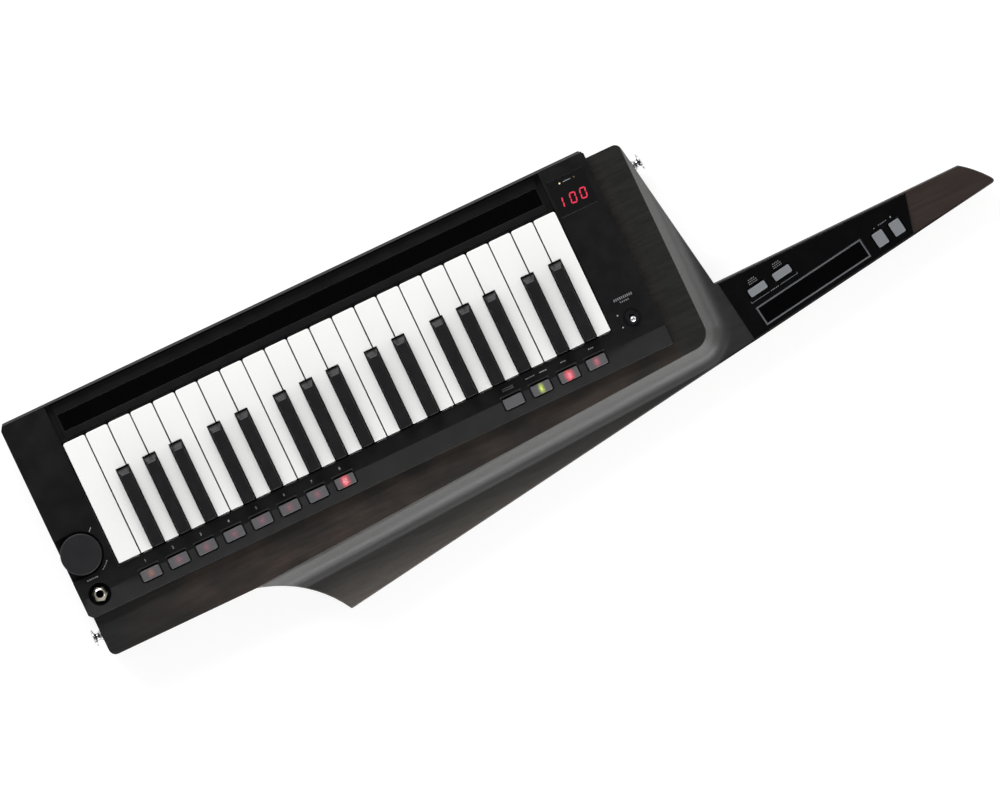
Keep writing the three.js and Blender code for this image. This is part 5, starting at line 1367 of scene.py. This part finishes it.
# Radius and height of the foot, the waist and the head, as on the turner's template
pin_outline = [
    (0, -PIN_SCREW_LENGTH),
    (PIN_SCREW_RADIUS, -PIN_SCREW_LENGTH + PIN_SCREW_RADIUS),
    (PIN_SCREW_RADIUS, PIN_SEAT),
    (4.4, PIN_SEAT), (4.6, 0.6), (4.4, 1.6), (3.6, 2.4), (3.1, 3.6), (3.0, 4.6), (3.4, 5.4),
    (4.8, 5.9), (6.9, 6.1), (7.3, 6.35), (7.4, 6.8), (7.2, 7.25), (6.6, 7.55), (5.0, 8.05), (3.0, 8.32),
    (1.5, PIN_REACH),
    (0, PIN_REACH),
]
pin = turned("pin", pin_outline, 64)
for bar in cross_cutter(PIN_CROSS_WIDTH, PIN_CROSS_LENGTH, PIN_REACH + OVERCUT, PIN_CROSS_DEPTH + OVERCUT):
    carve(pin, bar)
tail_middle = centre("strap_pin_tail")
tail = put(twin(pin, "tail_pin"), at(wood_low.x, *tail_middle.yz), TO_TAIL)
done(smooth(tail), chrome, "instrument", "chrome", "strap_pin_tail")
# The shoulder runs from the front of the wood back to the neck's root, and its pin stands square to it
WOOD_FRONT = case_high.y - WOOD_FRONT_INSET
shoulder_depth = WOOD_FRONT - case_low.y - NECK_ROOT_FROM_BACK
shoulder_lean = math.atan2(SHOULDER_RUN, shoulder_depth)
shoulder_x = FLAT_RIGHT + SHOULDER_RUN * PIN_FROM_FRONT / shoulder_depth
shoulder_place = at(shoulder_x, WOOD_FRONT - PIN_FROM_FRONT, centre("strap_pin_shoulder").z)
shoulder_turn = Matrix.Rotation(shoulder_lean, 4, "Z") @ Matrix.Rotation(math.pi / 2, 4, "Y")
shoulder = put(twin(pin, "shoulder_pin"), shoulder_place, shoulder_turn)
done(smooth(shoulder), chrome, "instrument", "chrome", "strap_pin_shoulder")
bpy.data.objects.remove(pin)
print("shoulder leans by", round(math.degrees(shoulder_lean), 1), "degrees")

# %% [markdown]
# The display is a smoked window with three lit digits behind it. Each digit is built from the lit
# bars of a seven-bar digit, with pointed ends, as a real one is. A bar is a hexagon stretched by
# moving its two halves apart.

# %% Display window and digits
DISPLAY_BESIDE_KEYS = 19.2
DISPLAY_X = KEYS_END + DISPLAY_BESIDE_KEYS
DISPLAY_Y = 8
WINDOW_LENGTH = 32.8
WINDOW_WIDTH = 30.8
GLASS_SINK = 0.4
GLASS_THICK = 0.34
GLASS_ROUND = 0.12
LIT_GAP = 0.01
DIGIT_HEIGHT = 8.4
DIGIT_WIDTH = 4.6
DIGIT_STARTS = (453.2, 464.6, 473.8)
DIGIT_FOOT_Y = -0.6
BAR_THICK = 1.25
BAR_DEPTH = 0.04
BAR_STRETCH = 1.15
SLANT = math.tan(math.radians(6))
LAMP_MOTTLE = 1.5
LAMP_FAINTEST = 0.85
LAMP_STRONGEST = 1.15
LAMP_RADIUS = 0.7
LAMP_SINK = 0.1
LAMP_Y = 18.8
LIT_LAMP_X = 462
DIM_LAMP_X = 475
glass_z = CASE_TOP - GLASS_SINK
window = block("display_window", (DISPLAY_X - WINDOW_LENGTH / 2, DISPLAY_Y - WINDOW_WIDTH / 2, glass_z),
    (DISPLAY_X + WINDOW_LENGTH / 2, DISPLAY_Y + WINDOW_WIDTH / 2, glass_z + GLASS_THICK))
soften(window, GLASS_ROUND)
done(smooth(window), smoked_acrylic, "instrument", "case_plastic")
LIT_Z = glass_z + GLASS_THICK + LIT_GAP


def glowing(name, glow, strength):
    """A lamp's own light: even colour with a faint mottle, so it doesn't look like paint."""
    finish, tree, place = blank(name)
    spots = add(tree, "TexNoise", blotches(place, LAMP_MOTTLE)).outputs[0]
    power = add(tree, "MapRange", rise(spots, 0, 1, strength * LAMP_FAINTEST, strength * LAMP_STRONGEST))
    shown(tree, {
        "Base Color": linear("200406"),
        "Roughness": 0.3,
        "Emission Color": linear(glow),
        "Emission Strength": power.outputs[0],
    })
    return finish


digit_light = glowing("red_lamp_segments", "e83c58", 1.1)
yellow_light = glowing("yellow_lamp", "fff0b0", 1.2)
dim_light = glowing("dim_lamp", "8a7a50", 0.5)


def segment(x, y, length, upright):
    """One lit bar round x, y of a digit that stands on the origin."""
    bpy.ops.object.select_all(action="DESELECT")
    bpy.ops.mesh.primitive_circle_add(vertices=6, radius=BAR_THICK / 2 * MM, fill_type="NGON",
        rotation=(0, 0, math.pi / 2))
    piece = settle(bpy.context.object)
    bpy.ops.object.mode_set(mode="EDIT")
    bpy.ops.mesh.select_all(action="SELECT")
    bpy.ops.transform.resize(value=(BAR_STRETCH, 1, 1))
    bpy.ops.mesh.extrude_region_move(TRANSFORM_OT_translate={"value": (0, 0, BAR_DEPTH * MM)})
    bpy.ops.mesh.select_all(action="SELECT")
    bpy.ops.mesh.normals_make_consistent(inside=False)
    for side in (-1, 1):
        pick(piece, "EDGE", lambda edge: all(vertex.co.y * side > 0 for vertex in edge.verts))
        bpy.ops.transform.translate(value=(0, side * (length - BAR_THICK) / 2 * MM, 0))
    bpy.ops.object.mode_set(mode="OBJECT")
    turn = Matrix.Identity(4) if upright else Matrix.Rotation(math.pi / 2, 4, "Z")
    return put(piece, Vector((x, y, 0)) * MM, turn)


half_high = DIGIT_HEIGHT / 2
bar_long = half_high - BAR_THICK / 3
bar_wide = DIGIT_WIDTH - BAR_THICK / 3
bar_levels = (half_high / 2, half_high + half_high / 2)
bars = [segment(x, y, bar_long, True) for x in (DIGIT_WIDTH, 0) for y in bar_levels]
one = joined("one", [twin(bar, "right_bar") for bar in bars[:2]])
bars += [segment(DIGIT_WIDTH / 2, y, bar_wide, False) for y in (0, DIGIT_HEIGHT)]
zero = joined("zero", bars)
slanted = Matrix.Identity(4)
slanted[0][1] = SLANT
digits = []
for shape, x in zip((one, zero, zero), DIGIT_STARTS):
    digit = twin(shape, "digit")
    digit.data.transform(slanted)
    digits.append(put(digit, at(x, DIGIT_FOOT_Y, LIT_Z)))
for shape in (one, zero):
    bpy.data.objects.remove(shape)
print("digits:", len(digits))
done(joined("display_digits", digits), digit_light, "instrument", "case_plastic")
for name, x, finish in (
    ("display_dot_lit", LIT_LAMP_X, yellow_light),
    ("display_dot_dim", DIM_LAMP_X, dim_light),
):
    dot = cylinder(name, x, LAMP_Y, LIT_Z - LAMP_SINK, LIT_Z + HAIR, LAMP_RADIUS, 24)
    done(smooth(dot), finish, "instrument", "case_plastic")

# %% [markdown]
# Print on the panels is ink a few hundredths of a millimetre thick. The maker's words are left off:
# where they stood are plain numbers and plain rules. Numbers are text turned into mesh, and rules are
# flat blocks.

# %% Printed marks
INK = 0.05
FIGURE_SHARE = 0.7
NUMBER_HEIGHT = 2.4
RULE_WIDTH = 0.5
RULE_ROUND_SHARE = 1 / 5
STROKE = 1.1
STROKE_STEP = 1.7
SMALL_PRINT = 0.8


def number(text, x, y, z, height=NUMBER_HEIGHT, turn=0):
    """A printed figure or sign, made as text and turned into mesh."""
    bpy.ops.object.select_all(action="DESELECT")
    bpy.ops.object.text_add()
    words = bpy.context.object
    words.data.body = text
    words.data.size = height * MM / FIGURE_SHARE
    words.data.extrude = INK * MM / 2
    words.data.align_x = "CENTER"
    words.data.align_y = "CENTER"
    words.data.resolution_u = 3
    bpy.ops.object.convert(target="MESH")
    bpy.ops.object.mode_set(mode="EDIT")
    bpy.ops.mesh.select_all(action="SELECT")
    bpy.ops.mesh.remove_doubles(threshold=WELD * MM)
    bpy.ops.object.mode_set(mode="OBJECT")
    return put(bpy.context.object, at(x, y, z + INK / 2), Matrix.Rotation(turn, 4, "Z"))


def rule(x, y, z, length, width=RULE_WIDTH, turn=0):
    """A flat bar of ink with soft corners."""
    piece = slab("rule", length, width, INK)
    soften(piece, min(width, length) * RULE_ROUND_SHARE)
    return put(piece, at(x, y, z + INK / 2), Matrix.Rotation(turn, 4, "Z"))


def strokes(x, y, z, length, width=SMALL_PRINT, turn=0):
    """A row of short strokes where small words stood, as wide as the words were."""
    count = round(length / STROKE_STEP)
    along_row = Vector((math.cos(turn), math.sin(turn)))
    row = []
    for i in range(count):
        spot = Vector((x, y)) + along_row * STROKE_STEP * (i - (count - 1) / 2)
        row.append(rule(spot.x, spot.y, z, STROKE, width, turn))
    return row


print("a stroke is", STROKE, "mm long, and the next one starts", STROKE_STEP, "mm on")

# %% [markdown]
# The marks of the case lie in rows: figures over the program buttons, words over the function
# buttons, a scale round the dial, and words and two dots beside the toggle. A table gives each row
# its place and size, so that one loop can print them. Some words were printed thin and grey.

# %% Marks on the case
NUMBER_Y = -115.6
WORD_Y = -114.9
UPPER_WORD_Y = -114.6
LOWER_WORD_Y = -116.3
WORD_PRINT = 0.9
PAIR_LEFT = 5
PAIR_RIGHT = 7
DIAL_WORD_Y = -110.6
TOGGLE_WORD_Y = -87.9
TOGGLE_NOTE_Y = -91.2
TOGGLE_DOT = 1.2
TOGGLE_DOT_X = 458.5
TOGGLE_DOTS_Y = (-100, -110.8)
DISPLAY_RULE_SHIFT = 0.5
DISPLAY_RULE_LENGTH = 7
DISPLAY_RULE_WIDTH = 0.45
DIAL_SCALE_GAP = 4.6
DIAL_SCALE = DIAL_RADIUS + DIAL_SCALE_GAP
# Direction in degrees, length, width and turn of each mark round the dial
DIAL_MARKS = [(degrees, 1.8, RULE_WIDTH, 90) for degrees in (-58, -52, -46, -40)] + [(45, 4, 0.6, 0)]

marks = []
faint = []
for i, x in enumerate(cap_places[:PROGRAM_COUNT]):
    marks.append(number(str(i + 1), x, NUMBER_Y, CASE_TOP))
shift_x, pair_x, third_x, last_x = cap_places[PROGRAM_COUNT:]
# Ink, middle, length and height of each row of words
case_words = [
    (faint, shift_x, UPPER_WORD_Y, 10, SMALL_PRINT),
    (faint, shift_x, LOWER_WORD_Y, 10, SMALL_PRINT),
    (marks, pair_x - PAIR_LEFT, WORD_Y, 9, WORD_PRINT),
    (marks, pair_x + PAIR_RIGHT, WORD_Y, 7, WORD_PRINT),
    (marks, third_x, WORD_Y, 5, WORD_PRINT),
    (marks, last_x, WORD_Y, 5, WORD_PRINT),
    (marks, dial_middle.x, DIAL_WORD_Y, 10.5, 1.1),
    (faint, TOGGLE_X, TOGGLE_WORD_Y, 17, 2.3),
    (faint, TOGGLE_X, TOGGLE_NOTE_Y, 8.5, 1.3),
]
for ink, x, y, length, width in case_words:
    ink.extend(strokes(x, y, CASE_TOP, length, width))
for degrees, length, width, turn in DIAL_MARKS:
    angle = math.radians(degrees)
    spot = dial_middle + Vector((math.cos(angle), math.sin(angle), 0)) * DIAL_SCALE
    marks.append(rule(spot.x, spot.y, CASE_TOP, length, width, angle + math.radians(turn)))
for y in TOGGLE_DOTS_Y:
    marks.append(rule(TOGGLE_DOT_X, y, CASE_TOP, TOGGLE_DOT, TOGGLE_DOT))
display_rule_x = DISPLAY_X + DISPLAY_RULE_SHIFT
marks.append(rule(display_rule_x, LAMP_Y, LIT_Z, DISPLAY_RULE_LENGTH, DISPLAY_RULE_WIDTH))
print("marks on the case:", len(marks) + len(faint))

# %% [markdown]
# The neck's marks follow its tilt, so their places are counted along the neck and across it, from
# the buttons that they belong to. All but the two signs are thin grey print.

# %% Marks on the neck
# Distance across the neck from a bar button, and length, of the three rows over it
BAR_WORDS = ((6.6, 9), (8.3, 9), (10, 7))
BRACKET_BELOW = 7.4
BRACKET_WORDS = 8
BRACKET_MIDDLE = 14
BRACKET_LENGTH = 17
BRACKET_WIDTH = 0.35
HOOK_MIDDLE = 22.5
HOOK_LENGTH = 1.5
HOOK_RISE = 0.6
SIGN_ABOVE = 10
SIGN_WORDS = 9
SIGN_HEIGHT = 2.6
across = Vector((-math.sin(NECK_TILT), math.cos(NECK_TILT), 0))
along = Vector((math.cos(NECK_TILT), math.sin(NECK_TILT), 0))
bar_middles = [centre(f"neck_bar_button_{i}") for i in (1, 2)]
square_middles = [centre(f"neck_square_button_{i}") for i in (1, 2)]
between_bars = sum(bar_middles, Vector()) / 2 - across * BRACKET_BELOW
between_squares = sum(square_middles, Vector()) / 2 + across * SIGN_ABOVE
neck_words = [(middle + across * row, length) for middle in bar_middles for row, length in BAR_WORDS]
neck_words += [(between_bars, BRACKET_WORDS), (between_squares, SIGN_WORDS)]
for spot, length in neck_words:
    faint += strokes(spot.x, spot.y, NECK_TOP, length, SMALL_PRINT, NECK_TILT)
for side in (-1, 1):
    spot = between_bars + along * side * BRACKET_MIDDLE
    hook = between_bars + along * side * HOOK_MIDDLE + across * HOOK_RISE
    faint.append(rule(spot.x, spot.y, NECK_TOP, BRACKET_LENGTH, BRACKET_WIDTH, NECK_TILT))
    faint.append(rule(hook.x, hook.y, NECK_TOP, BRACKET_WIDTH, HOOK_LENGTH, NECK_TILT))
for middle, sign in zip(square_middles, "-+"):
    spot = middle + across * SIGN_ABOVE
    marks.append(number(sign, spot.x, spot.y, NECK_TOP, SIGN_HEIGHT, NECK_TILT))
print("printed marks:", len(marks) + len(faint))
done(joined("panel_print", marks), print_ink, "instrument", "case_plastic")
done(joined("small_panel_print", faint), faint_ink, "instrument", "case_plastic")

# %% [markdown]
# The pale floor is a large plane. It takes the soft shadow of the body, and for the camera it adds a
# little light of its own, so that it is white where nothing shades it. Mirroring surfaces and what
# lies behind clear ones see that light too. The sky is dark above and bright at the horizon: flat
# black tops then stay black, while slopes and round edges catch light. The floor's size and the
# camera's reach are in metres.

# %% Floor, sky and camera
FLOOR_SIZE = 12
FLOOR_DROP = 0.5
FLOOR_LIGHT = 1.3
FLOOR_LIGHT_SHARE = 0.6
bpy.ops.object.select_all(action="DESELECT")
bpy.ops.mesh.primitive_plane_add(size=FLOOR_SIZE, location=(0, 0, -FLOOR_DROP * MM))
floor = settle(bpy.context.object)
floor.name = "pale_floor"
floor_paper = bpy.data.materials.new("pale_floor_paper")
floor_paper.use_nodes = True
tree = floor_paper.node_tree
tree.nodes.clear()
path = add(tree, "LightPath").outputs
seen = path["Is Camera Ray"]
for ray in ("Is Glossy Ray", "Is Transmission Ray"):
    seen = add(tree, "Math", {0: seen, 1: path[ray]}, operation="MAXIMUM").outputs[0]
share = add(tree, "Math", {0: seen, 1: FLOOR_LIGHT_SHARE}, operation="MULTIPLY").outputs[0]
matt = add(tree, "BsdfDiffuse", {"Color": linear("f4f4f4")}).outputs[0]
light = add(tree, "Emission", {"Color": linear("ffffff"), "Strength": FLOOR_LIGHT}).outputs[0]
mixed = add(tree, "MixShader", {0: share, 1: matt, 2: light})
add(tree, "OutputMaterial", {"Surface": mixed.outputs[0]})
floor.data.materials.append(floor_paper)

ZENITH = 0.03
HORIZON = 1.0
world = bpy.data.worlds.new("studio_sky")
bpy.context.scene.world = world
world.use_nodes = True
tree = world.node_tree
tree.nodes.clear()
direction = add(tree, "TexCoord").outputs["Generated"]
height = add(tree, "SeparateXYZ", {0: direction}).outputs[2]
sky = add(tree, "MapRange", rise(height, 0, 1, HORIZON, ZENITH)).outputs[0]
camera_ray = add(tree, "LightPath").outputs["Is Camera Ray"]
strength = add(tree, "Mix", {0: camera_ray, 2: sky, 3: 1.0}).outputs[0]
ground = add(tree, "Background", {"Color": linear("ffffff"), "Strength": strength})
add(tree, "OutputWorld", {"Surface": ground.outputs[0]})

PHOTO_WIDTH = 823.2
PHOTO_TURN = math.radians(25.37)
LENS = 1000
SENSOR = 36
CLIP_END = 100
AIM_X = 341.4
AIM_Y = -121.3
camera_data = bpy.data.cameras.new("camera")
camera_data.lens = LENS
camera_data.sensor_width = SENSOR
camera_data.clip_end = CLIP_END
camera = bpy.data.objects.new("camera", camera_data)
bpy.context.scene.collection.objects.link(camera)
camera_height = CASE_TOP + PHOTO_WIDTH * LENS / SENSOR
camera.location = at(AIM_X, AIM_Y, camera_height)
camera.rotation_euler = (0, 0, -PHOTO_TURN)
bpy.context.scene.camera = camera
bpy.context.scene.view_settings.view_transform = "Standard"
print("camera", round(camera_height), "mm over the floor, picture", PHOTO_WIDTH, "mm wide")

# %% [markdown]
# Four softboxes do the work of the studio. The large one stands before the key fronts, a long low
# one lies behind the body and rakes over its hollow slope, a third hangs high behind it, and a small
# one stands beyond the neck. Each looks at the middle of the keys, and its power follows from its
# size, so that a larger lamp is softer and not brighter.

# %% Softboxes
# Name, place and size in metres, and brightness per area
SOFTBOXES = [
    ("front_softbox", (-0.2, 1.8, 1.5), (2.2, 1.2), 5.6),
    ("back_low_softbox", (0.1, -1.9, 0.35), (2.8, 0.6), 5.2),
    ("back_high_softbox", (0.0, -1.1, 1.9), (2.4, 0.5), 2.4),
    ("neck_softbox", (2.0, 0.1, 0.45), (1.2, 0.6), 2.3),
]
for name, place, (width, height), radiance in SOFTBOXES:
    lamp_data = bpy.data.lights.new(name, "AREA")
    lamp_data.shape = "RECTANGLE"
    lamp_data.size = width
    lamp_data.size_y = height
    lamp_data.energy = radiance * math.pi * width * height
    lamp = bpy.data.objects.new(name, lamp_data)
    bpy.context.scene.collection.objects.link(lamp)
    lamp.location = place
    lamp.rotation_euler = (-Vector(place)).to_track_quat("-Z", "Y").to_euler()
    lamp.visible_camera = False
print("softboxes:", len(SOFTBOXES))
